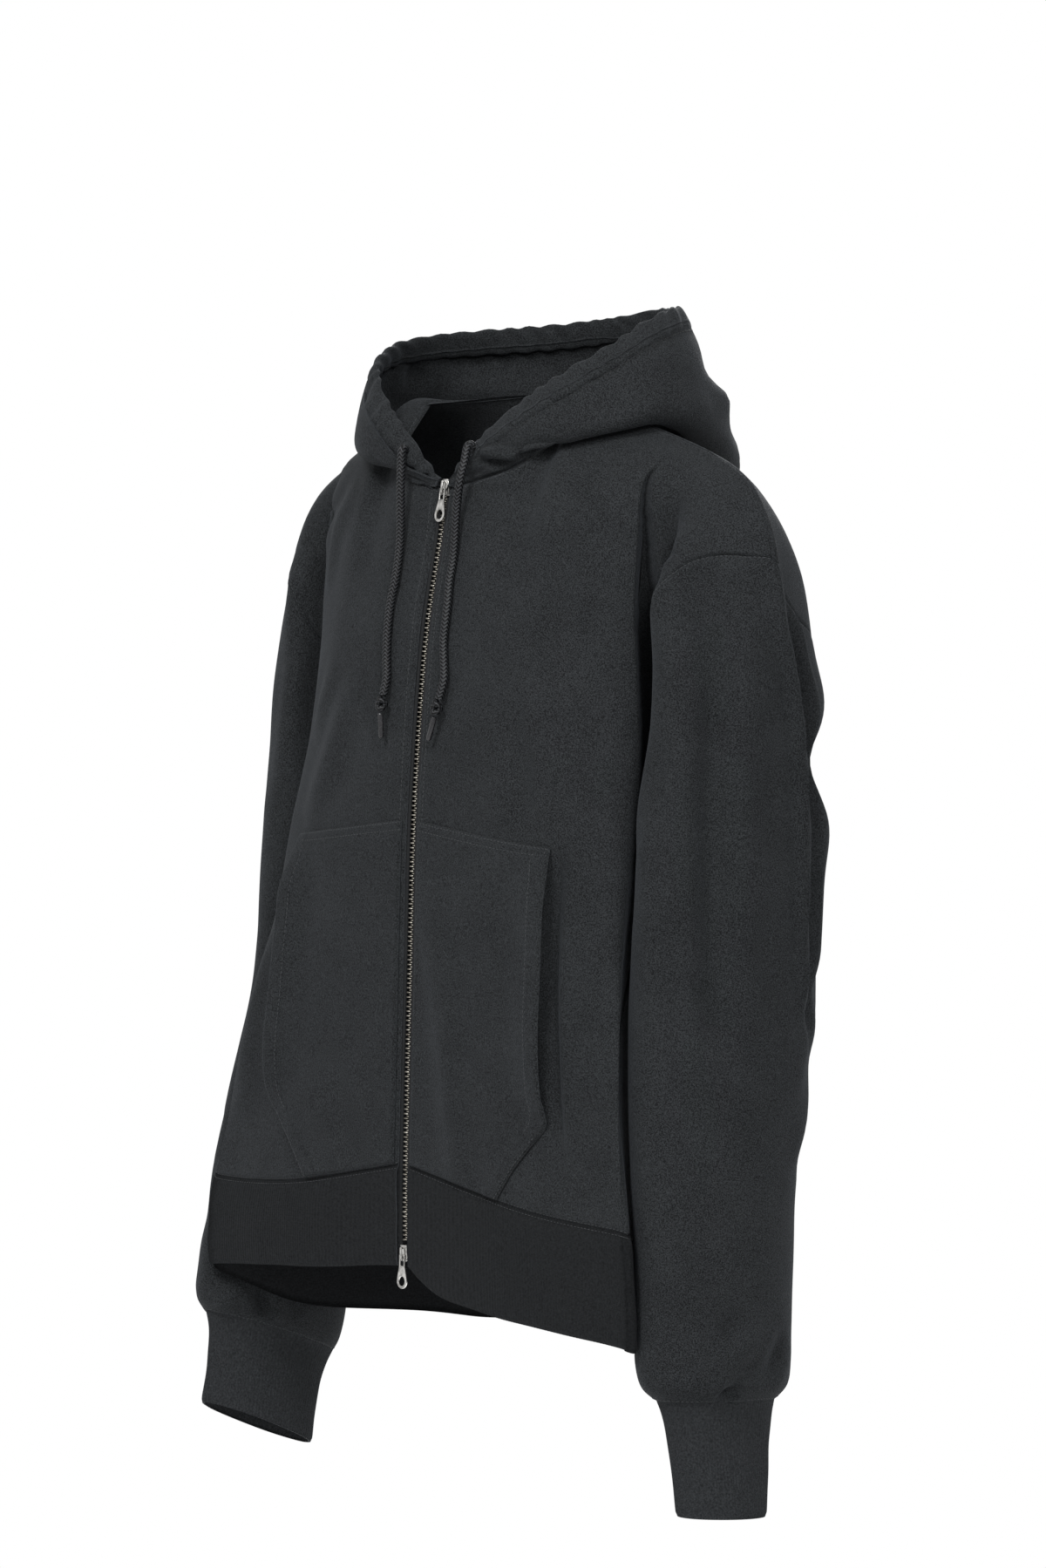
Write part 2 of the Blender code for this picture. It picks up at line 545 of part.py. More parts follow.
def pocket_grid(front, side):
    """The pocket's points are the front panel's own points, moved out by the cloth and the fullness in it."""
    surface = surface_tree(front)
    table = np.array(POCKET_EDGE)
    seam_line = front[-1]
    grid = np.zeros((POCKET_ROWS + 1, POCKET_COLUMNS + 1, 3))
    corner_row, corner_share = 9, POCKET_EDGE[-2][0]
    shares_down = smooth([0, corner_row, POCKET_ROWS], [0.0, corner_share, 1.0], np.arange(POCKET_ROWS + 1))
    for row, down in enumerate(shares_down):
        edge_x = np.interp(down, table[:, 0], table[:, 1])
        edge_z = np.interp(down, table[:, 0], table[:, 2])
        zip_z = POCKET_TOP_AT_ZIP + (seam_line[0, 2] + POCKET_ABOVE_SEAM - POCKET_TOP_AT_ZIP) * down
        for column in range(POCKET_COLUMNS + 1):
            across = column / POCKET_COLUMNS
            x = POCKET_INNER_X + (edge_x - POCKET_INNER_X) * across
            lowest = np.interp(x, side * seam_line[:, 0], seam_line[:, 2]) + POCKET_ABOVE_SEAM
            z = lowest if row == POCKET_ROWS else max(zip_z + (edge_z - zip_z) * across, lowest)
            hit, normal, _, _ = surface.ray_cast(Vector((side * x, -1.0, z)), Vector((0, 1, 0)))
            outward = -math.copysign(1.0, normal.y)
            stand_off = CLOTH + 1.5 * SEAM_GAP + pocket_fullness(across, down)
            grid[row, column] = np.array(hit) + np.array(normal) * outward * stand_off
    return grid


def surface_tree(grid):
    rows, columns = grid.shape[:2]
    points = [Vector(point) for point in grid.reshape(-1, 3)]
    faces = []
    for row in range(rows - 1):
        for column in range(columns - 1):
            first = row * columns + column
            faces.append((first, first + 1, first + columns + 1, first + columns))
    return BVHTree.FromPolygons(points, faces)


# Walls: the mid-surfaces given thickness. Panels that meet share their normals along the seam.


def key_of(point):
    return tuple(np.round(np.asarray(point) * 1e6).astype(int))


class SharedNormals:
    """Averages the normals of joined panels, so that both sides of a seam use the same one.

    Each group of panels counts once at a seam, however many of its panels meet there.
    """

    def __init__(self):
        self.groups = {}

    def add(self, grid, turned, closed=False, group="body"):
        sums = self.groups.setdefault(group, {})
        if closed:
            grid = np.concatenate([grid, grid[:, :1]], axis=1)
        rows, columns = grid.shape[:2]
        for row in range(rows - 1):
            for column in range(columns - 1):
                corners = (
                    grid[row, column],
                    grid[row, column + 1],
                    grid[row + 1, column + 1],
                    grid[row + 1, column],
                )
                normal = unit(np.cross(corners[2] - corners[0], corners[3] - corners[1])) * turned
                for corner in corners:
                    key = key_of(corner)
                    sums[key] = sums.get(key, 0.0) + normal

    def at(self, point):
        key = key_of(point)
        return unit(sum(unit(sums[key]) for sums in self.groups.values() if key in sums))

    def over(self, grid):
        return np.array([self.at(point) for point in grid.reshape(-1, 3)]).reshape(grid.shape)


def pull_back(grid, normals, seams, room):
    """Draws the seam edges back into the panel by half the seam gap, and the top edge by its room besides."""
    moved = grid.copy()
    edges = {
        "top": (grid[0], grid[1], normals[0], (0, slice(None))),
        "bottom": (grid[-1], grid[-2], normals[-1], (-1, slice(None))),
        "first": (grid[:, 0], grid[:, 1], normals[:, 0], (slice(None), 0)),
        "last": (grid[:, -1], grid[:, -2], normals[:, -1], (slice(None), -1)),
    }
    for name in seams:
        edge, inner, normal, place = edges[name]
        along = unit(np.gradient(edge, axis=0))
        inward = unit(np.cross(along, normal))
        if np.sum((inner - edge) * inward) < 0:
            inward = -inward
        gap = SEAM_GAP / 2 + (room if name == "top" else 0.0)
        moved[place] += inward * np.broadcast_to(gap, len(edge))[:, None]
    return moved


def wall(name, finish, grid, normals, thickness, seams=(), closed=False, room=0.0):
    """One closed solid from a mid-surface grid: an outer and an inner layer and the cut edges between."""
    moved = pull_back(grid, normals, seams, room)
    rows, columns = grid.shape[:2]
    mesh = bmesh.new()
    layers = []
    for offset in (thickness / 2, -thickness / 2):
        points = moved + normals * offset
        layers.append([[mesh.verts.new(point) for point in line] for line in points])
    around = columns if closed else columns - 1
    outer, inner = layers
    for row in range(rows - 1):
        for column in range(around):
            following = (column + 1) % columns
            for layer in layers:
                upper, lower = layer[row], layer[row + 1]
                mesh.faces.new((upper[column], upper[following], lower[following], lower[column]))
    for column in range(around):
        following = (column + 1) % columns
        for row in (0, rows - 1):
            out, back = outer[row], inner[row]
            mesh.faces.new((out[column], out[following], back[following], back[column]))
    if not closed:
        for row in range(rows - 1):
            for column in (0, columns - 1):
                edge = (outer[row], outer[row + 1], inner[row + 1], inner[row])
                mesh.faces.new([line[column] for line in edge])
    return finished(name, finish, mesh)


def finished(name, finish, mesh, sharp_angle=math.radians(50)):
    """Turns a bmesh into a named, smooth-shaded object with its own material."""
    bmesh.ops.recalc_face_normals(mesh, faces=mesh.faces)
    data = bpy.data.meshes.new(name)
    mesh.to_mesh(data)
    mesh.free()
    data.materials.append(finish)
    data.shade_smooth()
    data.set_sharp_from_angle(angle=sharp_angle)
    made = bpy.data.objects.new(name, data)
    bpy.context.scene.collection.objects.link(made)
    return made


def loft(name, finish, sections):
    """One closed solid through a row of closed sections of equal point counts, with its ends capped."""
    mesh = bmesh.new()
    rings = [[mesh.verts.new(point) for point in section] for section in sections]
    count = len(rings[0])
    for ring, following in zip(rings, rings[1:]):
        for side in range(count):
            after = (side + 1) % count
            mesh.faces.new((ring[side], ring[after], following[after], following[side]))
    mesh.faces.new(rings[0])
    mesh.faces.new(rings[-1])
    return finished(name, finish, mesh)


def squared(value):
    """Pushes a sine or cosine outwards, so that an oval gets squarer corners."""
    return math.copysign(abs(value) ** 0.8, value)


def casing_thickness(width):
    return min(CASING_THICKNESS, CASING_THICKNESS_SHARE * width)


def hood_casing(halves):
    """The folded edge of the hood that the drawcord runs in: a flat oval roll from throat to throat."""
    left, right = halves[LEFT], halves[RIGHT]
    rims = np.concatenate([left[1], right[1][-2::-1]])
    leads = np.concatenate([left[2], right[2][-2::-1]])
    widths = np.concatenate([left[3], right[3][-2::-1]])
    along = unit(np.gradient(rims, axis=0))
    sections = []
    for rim, lead, width, tangent in zip(rims, leads, widths, along):
        out = unit(np.cross(tangent, lead))
        reach = width / 2 - CASING_EDGE
        centre = rim - lead * width / 2
        thickness = casing_thickness(width)
        section = []
        for side in range(CASING_SIDES):
            angle = 2 * math.pi * side / CASING_SIDES
            up = reach * squared(math.cos(angle))
            across = thickness / 2 * squared(math.sin(angle))
            section.append(centre + lead * up + out * across)
        sections.append(section)
    return loft("hood_casing", casing_fleece(), sections)


def casing_fleece():
    return material("casing fleece", (0.020, 0.024, 0.027), 0.92)


# Zip


def zip_line(front, waistband, heights):
    """Depth of the front edge at the given heights, from the neckline to the hem."""
    line = np.concatenate([front[:, 0], waistband[1:, 0]])
    return np.interp([-height for height in heights], -line[:, 2], line[:, 1])


def strip(name, finish, low_x, high_x, heights, depths, thickness):
    """A flat strip that follows the front edge down."""
    sections = []
    for height, depth in zip(heights, depths):
        sections.append(
            [
                (low_x, depth - thickness / 2, height),
                (high_x, depth - thickness / 2, height),
                (high_x, depth + thickness / 2, height),
                (low_x, depth + thickness / 2, height),
            ]
        )
    return loft(name, finish, sections)


def box_mesh(mesh, low, high):
    made = bmesh.ops.create_cube(mesh, size=1.0)["verts"]
    size = [b - a for a, b in zip(low, high)]
    middle = [(a + b) / 2 for a, b in zip(low, high)]
    bmesh.ops.scale(mesh, verts=made, vec=size)
    bmesh.ops.translate(mesh, verts=made, vec=middle)


def slider_outline(mouth_up):
    """A slider's plate seen from the front: wide shoulders at its mouth and a narrower tail."""
    # Across as a share of the half width, up as a share of the length.
    right = ((0.55, 0.50), (1.00, 0.26), (0.78, -0.10), (0.78, -0.50))
    corners = [*right, *((-across, up) for across, up in reversed(right))]
    return [(across * SLIDER_WIDTH / 2, up * SLIDER_LENGTH * mouth_up) for across, up in corners]


def extruded(mesh, outline, near, far):
    """A solid plate: an outline of (x, z) points between two depths."""
    front = [mesh.verts.new((x, near, z)) for x, z in outline]
    rear = [mesh.verts.new((x, far, z)) for x, z in outline]
    mesh.faces.new(front)
    mesh.faces.new(rear)
    count = len(outline)
    for place in range(count):
        after = (place + 1) % count
        mesh.faces.new((front[place], front[after], rear[after], rear[place]))


def helper_object(name, mesh, finish):
    """A part of a Boolean: seen as wires and never rendered."""
    made = finished(name, finish, mesh)
    made.hide_render = True
    made.display_type = "WIRE"
    return made


def box_helper(name, low, high, finish):
    mesh = bmesh.new()
    box_mesh(mesh, low, high)
    return helper_object(name, mesh, finish)


def add_boolean(target, helper, operation):
    step = target.modifiers.new("Boolean " + helper.name, "BOOLEAN")
    step.operation = operation
    step.object = helper


def slider(name, place, lean, mouth_up):
    """Two plates joined by a post at the mouth, with a bridge on the front for the pull tab."""
    metal = zip_metal()
    outline = slider_outline(mouth_up)
    half_gap = SLIDER_MOUTH / 2
    mesh = bmesh.new()
    extruded(mesh, outline, -half_gap - SLIDER_PLATE, -half_gap)
    front = finished(name, metal, mesh)
    rear_mesh = bmesh.new()
    extruded(rear_mesh, outline, half_gap, half_gap + SLIDER_PLATE)
    rear = helper_object(name + "_rear", rear_mesh, metal)
    # The post starts and ends inside the plates, near the mouth.
    post_low, post_high = sorted((mouth_up * SLIDER_LENGTH * 0.12, mouth_up * SLIDER_LENGTH * 0.45))
    reach = half_gap + SLIDER_PLATE / 2
    post_half = 0.0012
    post = box_helper(name + "_post", (-post_half, -reach, post_low), (post_half, reach, post_high), metal)
    bridge_half, bridge_height = 0.0010, 0.0092
    bridge = box_helper(
        name + "_bridge",
        (-bridge_half, -reach - SLIDER_BRIDGE, -bridge_height / 2),
        (bridge_half, -reach, bridge_height / 2),
        metal,
    )
    for helper in (rear, post, bridge):
        add_boolean(front, helper, "UNION")
    # The tunnel under the bridge is wider than the bridge and leaves its two feet.
    tunnel = box_helper(
        name + "_tunnel",
        (-3 * bridge_half, -reach - SLIDER_BRIDGE + 0.0010, -0.37 * bridge_height),
        (3 * bridge_half, -half_gap - SLIDER_PLATE, 0.37 * bridge_height),
        metal,
    )
    add_boolean(front, tunnel, "DIFFERENCE")
    for moved in (front, rear, post, bridge, tunnel):
        moved.location = place
        moved.rotation_euler = (-lean, 0.0, 0.0)


def pull_outline():
    """The tab flat on: a round end below, a waist, and two arms up to the bar at the top."""
    ring_centre = -(PULL_LENGTH - PULL_RING_RADIUS)
    outline = []
    for degrees in range(-240, 61, 20):
        angle = math.radians(degrees)
        outline.append((PULL_RING_RADIUS * math.cos(angle), ring_centre + PULL_RING_RADIUS * math.sin(angle)))
    arm = ((0.0020, -0.0120), (PULL_ARM_HALF, -0.0085), (PULL_ARM_HALF, PULL_BAR_HALF))
    return outline + [*arm, *((-x, z) for x, z in reversed(arm))]


def pull_tab(name, place, lean):
    """A cast pull: a cross bar under the slider's bridge, two arms, a waist and a round end with a hole.

    It hangs in front of the slider, with its origin on the bar's axis, where it hinges.
    """
    metal = zip_metal()
    mesh = bmesh.new()
    extruded(mesh, pull_outline(), -PULL_THICKNESS / 2, PULL_THICKNESS / 2)
    tab = finished(name, metal, mesh)
    hole = bmesh.new()
    radius, depth = PULL_HOLE_RADIUS, 8 * PULL_THICKNESS
    bmesh.ops.create_cone(hole, cap_ends=True, segments=14, radius1=radius, radius2=radius, depth=depth)
    bmesh.ops.rotate(hole, verts=hole.verts, cent=(0, 0, 0), matrix=Matrix.Rotation(math.pi / 2, 3, "X"))
    bmesh.ops.translate(hole, verts=hole.verts, vec=(0, 0, PULL_RING_RADIUS - PULL_LENGTH))
    ring_cutter = helper_object(name + "_hole", hole, metal)
    low = (-PULL_WINDOW_HALF, -depth, -PULL_WINDOW_DROP)
    high = (PULL_WINDOW_HALF, depth, -PULL_BAR_HALF)
    window = box_helper(name + "_window", low, high, metal)
    for cutter in (ring_cutter, window):
        add_boolean(tab, cutter, "DIFFERENCE")
    for moved in (tab, ring_cutter, window):
        moved.location = place
        moved.rotation_euler = (-lean, 0.0, 0.0)


# Drawcord


def cord(name, route):
    """A round cord along a route, with its first step kept and the rest in even steps. Returns its points."""
    hanging = route[1:]
    lengths = path_lengths(hanging)
    count = int(lengths[-1] / CORD_POINT_SPACING) + 2
    points = np.concatenate([route[:1], smooth(lengths, hanging, np.linspace(0, lengths[-1], count))])
    data = bpy.data.curves.new(name, "CURVE")
    data.dimensions = "3D"
    data.bevel_depth = CORD_DIAMETER / 2
    data.bevel_resolution = 2
    data.use_fill_caps = True
    spline = data.splines.new("POLY")
    spline.points.add(count)
    for place, point in zip(spline.points, points):
        place.co = (*point, 1.0)
    data.materials.append(braid())
    made = bpy.data.objects.new(name, data)
    bpy.context.scene.collection.objects.link(made)
    return points


def turned(name, finish, start, direction, profile, sides):
    """A round piece along a line: profile is (distance, radius) stations."""
    direction = unit(np.array(direction))
    across = unit(np.cross(direction, (0.0, 1.0, 0.0)))
    other = np.cross(direction, across)
    sections = []
    for distance, radius in profile:
        centre = start + direction * distance
        sections.append(
            [
                centre + radius * (math.cos(angle) * across + math.sin(angle) * other)
                for angle in (2 * math.pi * side / sides for side in range(sides))
            ]
        )
    return loft(name, finish, sections)


def cord_route(side, front, hood):
    """Out of the eyelet in the middle of the casing, down in front of the throat and on over the chest."""
    _, rims, leads, widths = hood
    low = int(EYELET_COLUMN)
    share = EYELET_COLUMN - low
    centres = rims - leads * widths[:, None] / 2
    along = unit(centres[low + 1] - centres[low])
    out = unit(np.cross(along, leads[low]))
    if out[1] > 0:
        out = -out
    middle = centres[low] * (1 - share) + centres[low + 1] * share
    exit_point = middle + out * (casing_thickness(widths[low]) / 2 + SEAM_GAP)
    radius = CORD_DIAMETER / 2
    route = [exit_point, exit_point + out * CORD_BEND]
    surface = surface_tree(front)
    last = CORD_ROUTES[side][-1][1]
    for x, z in CORD_ROUTES[side]:
        near_knot = ease((last + KNOT_LIFT - z) / KNOT_LIFT)
        clear = CLOTH / 2 + radius + CORD_CLEARANCE + near_knot * (KNOT_DIAMETER / 2 - radius)
        hit, _, _, _ = surface.ray_cast(Vector((x, -1.0, z)), Vector((0, 1, 0)))
        lying = hit.y - clear if hit else 0.0
        route.append(np.array([x, min(CORD_HANG_Y, lying), z]))
    return np.array(route)


def drawcord_end(side, front, hood):
    """The cord from its eyelet, the knot that stops it and the aglet at its tip."""
    word = WORDS[side]
    points = cord("drawcord_" + word, cord_route(side, front, hood))
    direction = unit(points[-1] - points[-2])
    start = points[-1] + direction * SEAM_GAP
    # Share of the knot's length, share of its radius.
    knot_shape = ((0.0, 0.48), (0.16, 0.90), (0.35, 1.0), (0.55, 0.86), (0.80, 0.92), (1.0, 0.45))
    knot_profile = [(along * KNOT_LENGTH, wide * KNOT_DIAMETER / 2) for along, wide in knot_shape]
    turned("knot_" + word, braid(), start, direction, knot_profile, 12)
    radius = AGLET_DIAMETER / 2
    lean = unit(np.array([AGLET_LEAN[side], -0.03, -1.0]))
    # A leaning aglet needs room for the corner of its upper end.
    corner = radius * math.sqrt(max(0.0, 1.0 - np.dot(lean, direction) ** 2))
    tip = start + direction * (KNOT_LENGTH + SEAM_GAP + corner)
    aglet_shape = ((0.0, 0.92), (0.06, 1.0), (0.95, 1.0), (1.0, 0.7))
    aglet_profile = [(along * AGLET_LENGTH, wide * radius) for along, wide in aglet_shape]
    turned("aglet_" + word, aglet_plastic(), tip, lean, aglet_profile, 10)


def zipper(front, waistband):
    """The chain between its sliders, the tapes behind the front edges, and each slider with its pull tab."""
    heights = np.linspace(SLIDER_TOP_HEIGHT - TAPE_START, ZIP_BOTTOM, ZIP_STATIONS)
    depths = zip_line(front, waistband, heights) + ZIP_DEPTH
    inner = CHAIN_WIDTH / 2 + SEAM_GAP
    for side, word in WORDS.items():
        low, high = sorted((side * inner, side * (inner + TAPE_WIDTH)))
        strip("zip_tape_" + word, zip_tape(), low, high, heights, depths, TAPE_THICKNESS)
    reach = SLIDER_LENGTH / 2 + SEAM_GAP
    heights = np.linspace(SLIDER_TOP_HEIGHT - reach, SLIDER_BOTTOM_HEIGHT + reach, ZIP_STATIONS)
    depths = zip_line(front, waistband, heights) + ZIP_DEPTH
    strip("zip_chain", zip_metal(), -CHAIN_WIDTH / 2, CHAIN_WIDTH / 2, heights, depths, CHAIN_THICKNESS)
    for word, height, mouth_up in (("top", SLIDER_TOP_HEIGHT, 1), ("bottom", SLIDER_BOTTOM_HEIGHT, -1)):
        level, below = zip_line(front, waistband, [height, height - PULL_LENGTH]) + ZIP_DEPTH
        # Both follow the slope of the zip just below them.
        lean = math.atan2(level - below, PULL_LENGTH)
        place = Vector((0.0, level, height))
        slider("slider_" + word, place, lean, mouth_up)
        bar = Matrix.Rotation(-lean, 3, "X") @ Vector((0.0, -PULL_BAR_DEPTH, -PULL_BAR_DROP))
        pull_tab("pull_" + word, place + bar, lean + PULL_LEAN)


def build():
    clear_scene()
    fronts = {side: panel_grid(FRONT_LINES, side) for side in WORDS}
    back = back_grid()
    back_halves = {LEFT: back[:, SIDE_COLUMN:], RIGHT: back[:, SIDE_COLUMN::-1]}
    for side in WORDS:
        join_seams(fronts[side], back_halves[side])
    sleeves = {side: sleeve_grid(armhole_ring(fronts[side], back_halves[side]), side) for side in WORDS}
    cuffs = {side: cuff_grid(sleeves[side][-1], side) for side in WORDS}
    waistband = waistband_grid(fronts, back)
    hoods = {side: hood_half(fronts[side], back_halves[side], side) for side in WORDS}

    shared = SharedNormals()
    shared.add(back, 1)
    shared.add(waistband, -1, group="waistband")
    for side in WORDS:
        shared.add(fronts[side], -side)
        shared.add(sleeves[side], side, closed=True, group="sleeve")
        shared.add(cuffs[side], side, closed=True, group="cuff")
        shared.add(hoods[side][0], side, group="hood")

    for side, word in WORDS.items():
        front, sleeve, cuff, hood = fronts[side], sleeves[side], cuffs[side], hoods[side][0]
        room = armhole_room(sleeve.shape[1])
        wall("front_" + word, fleece(), front, shared.over(front), CLOTH, ("top", "bottom", "last"))
        wall("sleeve_" + word, fleece(), sleeve, shared.over(sleeve), CLOTH, ("top", "bottom"), True, room)
        wall("cuff_" + word, rib_knit(), cuff, shared.over(cuff), RIB_CLOTH, ("top",), True)
        wall("hood_" + word, fleece(), hood, shared.over(hood), CLOTH, ("top", "last"))
        pocket = pocket_grid(front, side)
        pocket_normals = SharedNormals()
        pocket_normals.add(pocket, -side)
        wall("pocket_" + word, fleece(), pocket, pocket_normals.over(pocket), POCKET_CLOTH)
        drawcord_end(side, front, hoods[side])
    wall("back", fleece(), back, shared.over(back), CLOTH, ("top", "bottom", "first", "last"))
    wall("waistband", rib_knit(), waistband, shared.over(waistband), RIB_CLOTH, ("top",))
    hood_casing(hoods)
    zipper(fronts[LEFT], waistband)


build()
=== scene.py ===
import json
import math

import bmesh
import bpy
import numpy as np
from mathutils import Matrix, Vector, noise
from mathutils.bvhtree import BVHTree

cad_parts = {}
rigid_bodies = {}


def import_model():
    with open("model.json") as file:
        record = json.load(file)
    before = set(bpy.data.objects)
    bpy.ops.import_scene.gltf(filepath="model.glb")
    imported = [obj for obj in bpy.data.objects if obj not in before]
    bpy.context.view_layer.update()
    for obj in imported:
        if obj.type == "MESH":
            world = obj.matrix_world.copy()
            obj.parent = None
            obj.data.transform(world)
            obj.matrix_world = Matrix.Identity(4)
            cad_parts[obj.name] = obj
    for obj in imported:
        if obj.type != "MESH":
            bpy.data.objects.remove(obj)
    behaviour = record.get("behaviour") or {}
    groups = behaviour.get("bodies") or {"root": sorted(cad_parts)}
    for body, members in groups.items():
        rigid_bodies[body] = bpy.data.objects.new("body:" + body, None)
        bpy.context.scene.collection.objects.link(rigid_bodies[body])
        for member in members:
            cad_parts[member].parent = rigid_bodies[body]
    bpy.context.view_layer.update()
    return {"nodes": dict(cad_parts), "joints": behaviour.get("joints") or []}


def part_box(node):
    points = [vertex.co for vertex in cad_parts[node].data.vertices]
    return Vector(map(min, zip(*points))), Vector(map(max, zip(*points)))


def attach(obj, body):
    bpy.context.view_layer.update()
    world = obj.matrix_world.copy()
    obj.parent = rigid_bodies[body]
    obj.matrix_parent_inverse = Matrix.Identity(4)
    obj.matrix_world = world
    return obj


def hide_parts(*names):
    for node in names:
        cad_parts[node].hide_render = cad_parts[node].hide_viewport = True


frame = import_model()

# Camera. The hoodie hangs with the high points of its shoulders level with the origin. It is seen from its
# left front, from shoulder height and from far enough away for a long lens.
VIEW_AZIMUTH = math.radians(50.0)
VIEW_DISTANCE = 6.5
VIEW_LENS_MM = 192.1
VIEW_AIM_RIGHT = 0.0102
VIEW_AIM_DOWN = 0.2969

view_right = Vector((math.cos(VIEW_AZIMUTH), math.sin(VIEW_AZIMUTH), 0.0))
view_place = VIEW_DISTANCE * Vector((math.sin(VIEW_AZIMUTH), -math.cos(VIEW_AZIMUTH), 0.0))
view_aim = view_right * VIEW_AIM_RIGHT - Vector((0.0, 0.0, VIEW_AIM_DOWN))
bpy.ops.object.camera_add(location=view_place)
camera = bpy.context.object
camera.name = "camera"
camera.rotation_euler = (view_aim - view_place).to_track_quat("-Z", "Y").to_euler()
camera.data.sensor_width = 36.0
camera.data.lens = VIEW_LENS_MM
camera.data.clip_end = 60.0
bpy.context.scene.camera = camera


# Drawcord. A round braided cord of polyester, 6.6 mm thick, runs in the hood's casing. Each end leaves it by
# a sewn hole at the throat and hangs over the chest to a stopper knot and a tube-shaped aglet.
CORD_THICK = 0.0066
BRAID_PITCH = 0.0030
BRAID_ROWS = 4
BRAID_SLANT = 0.9
BRAID_RELIEF = 0.18
BRAID_CROWN = 0.6
CORD_SIDES = 32
CORD_STEP = 0.0004
CORD_LINES = {
    "left": (
        (0.0375, -0.0661, -0.0348), (0.0366, -0.0699, -0.0329), (0.0372, -0.0769, -0.0469),
        (0.0355, -0.0799, -0.0614), (0.0316, -0.0791, -0.0766), (0.0296, -0.0789, -0.0919),
        (0.0285, -0.0791, -0.1073), (0.0279, -0.0804, -0.1226), (0.0279, -0.0837, -0.1377),
        (0.0294, -0.0866, -0.1528), (0.0298, -0.0892, -0.1679), (0.0299, -0.0913, -0.1832),
        (0.0327, -0.0933, -0.1982), (0.0357, -0.0958, -0.2131), (0.0335, -0.0992, -0.2280),
    ),
    "right": (
        (-0.0398, -0.0714, -0.0372), (-0.0386, -0.0753, -0.0360), (-0.0371, -0.0787, -0.0505),
        (-0.0370, -0.0792, -0.0653), (-0.0374, -0.0789, -0.0803), (-0.0378, -0.0786, -0.0952),
        (-0.0380, -0.0792, -0.1100), (-0.0378, -0.0814, -0.1248), (-0.0381, -0.0841, -0.1394),
        (-0.0397, -0.0868, -0.1540), (-0.0399, -0.0892, -0.1687), (-0.0392, -0.0912, -0.1835),
        (-0.0374, -0.0932, -0.1981), (-0.0346, -0.0955, -0.2125), (-0.0342, -0.0991, -0.2270),
    ),
}


def select_only(*chosen):
    """Nothing else stays selected, because an operator acts on all that is."""
    for other in bpy.context.scene.objects:
        other.select_set(False)
    for one in chosen:
        one.select_set(True)
    bpy.context.view_layer.objects.active = chosen[0]


def unit(vectors):
    """The same directions, one long."""
    return vectors / np.maximum(np.linalg.norm(vectors, axis=-1, keepdims=True), 1e-12)


def eased(share):
    """Goes from 0 to 1 as the share does, and starts and stops softly."""
    share = np.clip(share, 0.0, 1.0)
    return share * share * (3.0 - 2.0 * share)


def lengths_along(points):
    """Length of the line as far as each of its points."""
    steps = np.linalg.norm(np.diff(points, axis=0), axis=1)
    return np.concatenate([[0.0], np.cumsum(steps)])


def curve_through(points, spacing):
    """Even points on a smooth curve through the given ones."""
    points = np.asarray(points, float)
    places = lengths_along(points)
    wanted = np.linspace(0.0, places[-1], max(2, int(round(places[-1] / spacing)) + 1))
    slopes = np.gradient(points, places, axis=0)
    low = np.clip(np.searchsorted(places, wanted, side="right") - 1, 0, len(places) - 2)
    width = (places[low + 1] - places[low])[:, None]
    share = (wanted - places[low])[:, None] / width
    start, end = points[low], points[low + 1]
    square, cube = share**2, share**3
    return (
        (2 * cube - 3 * square + 1) * start
        + (cube - 2 * square + share) * slopes[low] * width
        + (3 * square - 2 * cube) * end
        + (cube - square) * slopes[low + 1] * width
    )


def mesh_piece(name, points, faces):
    """A named piece from points and faces, shaded smooth."""
    data = bpy.data.meshes.new(name)
    data.from_pydata([tuple(point) for point in points], [], [tuple(face) for face in faces])
    piece = bpy.data.objects.new(name, data)
    bpy.context.scene.collection.objects.link(piece)
    data.shade_smooth()
    return piece


def tube_rings(line, radius_at, sides):
    """Rings of points square to a line, with radii from the distance along it and the angle round it."""
    along = unit(np.gradient(line, axis=0))
    across = np.zeros_like(line)
    guide = np.array([1.0, 0.0, 0.0])
    for place, direction in enumerate(along):
        guide = guide - direction * np.dot(guide, direction)
        guide = guide / np.linalg.norm(guide)
        across[place] = guide
    other = np.cross(along, across)
    angles = 2 * np.pi * np.arange(sides) / sides
    radii = radius_at(lengths_along(line)[:, None], angles[None, :])
    flat = across[:, None] * np.cos(angles)[None, :, None] + other[:, None] * np.sin(angles)[None, :, None]
    return line[:, None] + flat * radii[:, :, None]


def tube_piece(name, rings, shade):
    """A closed tube through rings of equal counts, with a cap on each end and a shade value at every point."""
    count, sides = rings.shape[:2]
    faces = []
    for row in range(count - 1):
        for side in range(sides):
            after = (side + 1) % sides
            low, high = row * sides, (row + 1) * sides
            faces.append((low + side, low + after, high + after, high + side))
    faces.append(tuple(range(sides - 1, -1, -1)))
    faces.append(tuple((count - 1) * sides + side for side in range(sides)))
    piece = mesh_piece(name, rings.reshape(-1, 3), faces)
    facing_out(piece)
    piece.data.attributes.new("shade", "FLOAT", "POINT").data.foreach_set("value", shade.reshape(-1))
    return piece


def facing_out(piece):
    """Turns the faces of a closed piece outwards."""
    select_only(piece)
    bpy.ops.object.mode_set(mode="EDIT")
    bpy.ops.mesh.select_all(action="SELECT")
    bpy.ops.mesh.normals_make_consistent(inside=False)
    bpy.ops.mesh.select_all(action="DESELECT")
    bpy.ops.object.mode_set(mode="OBJECT")


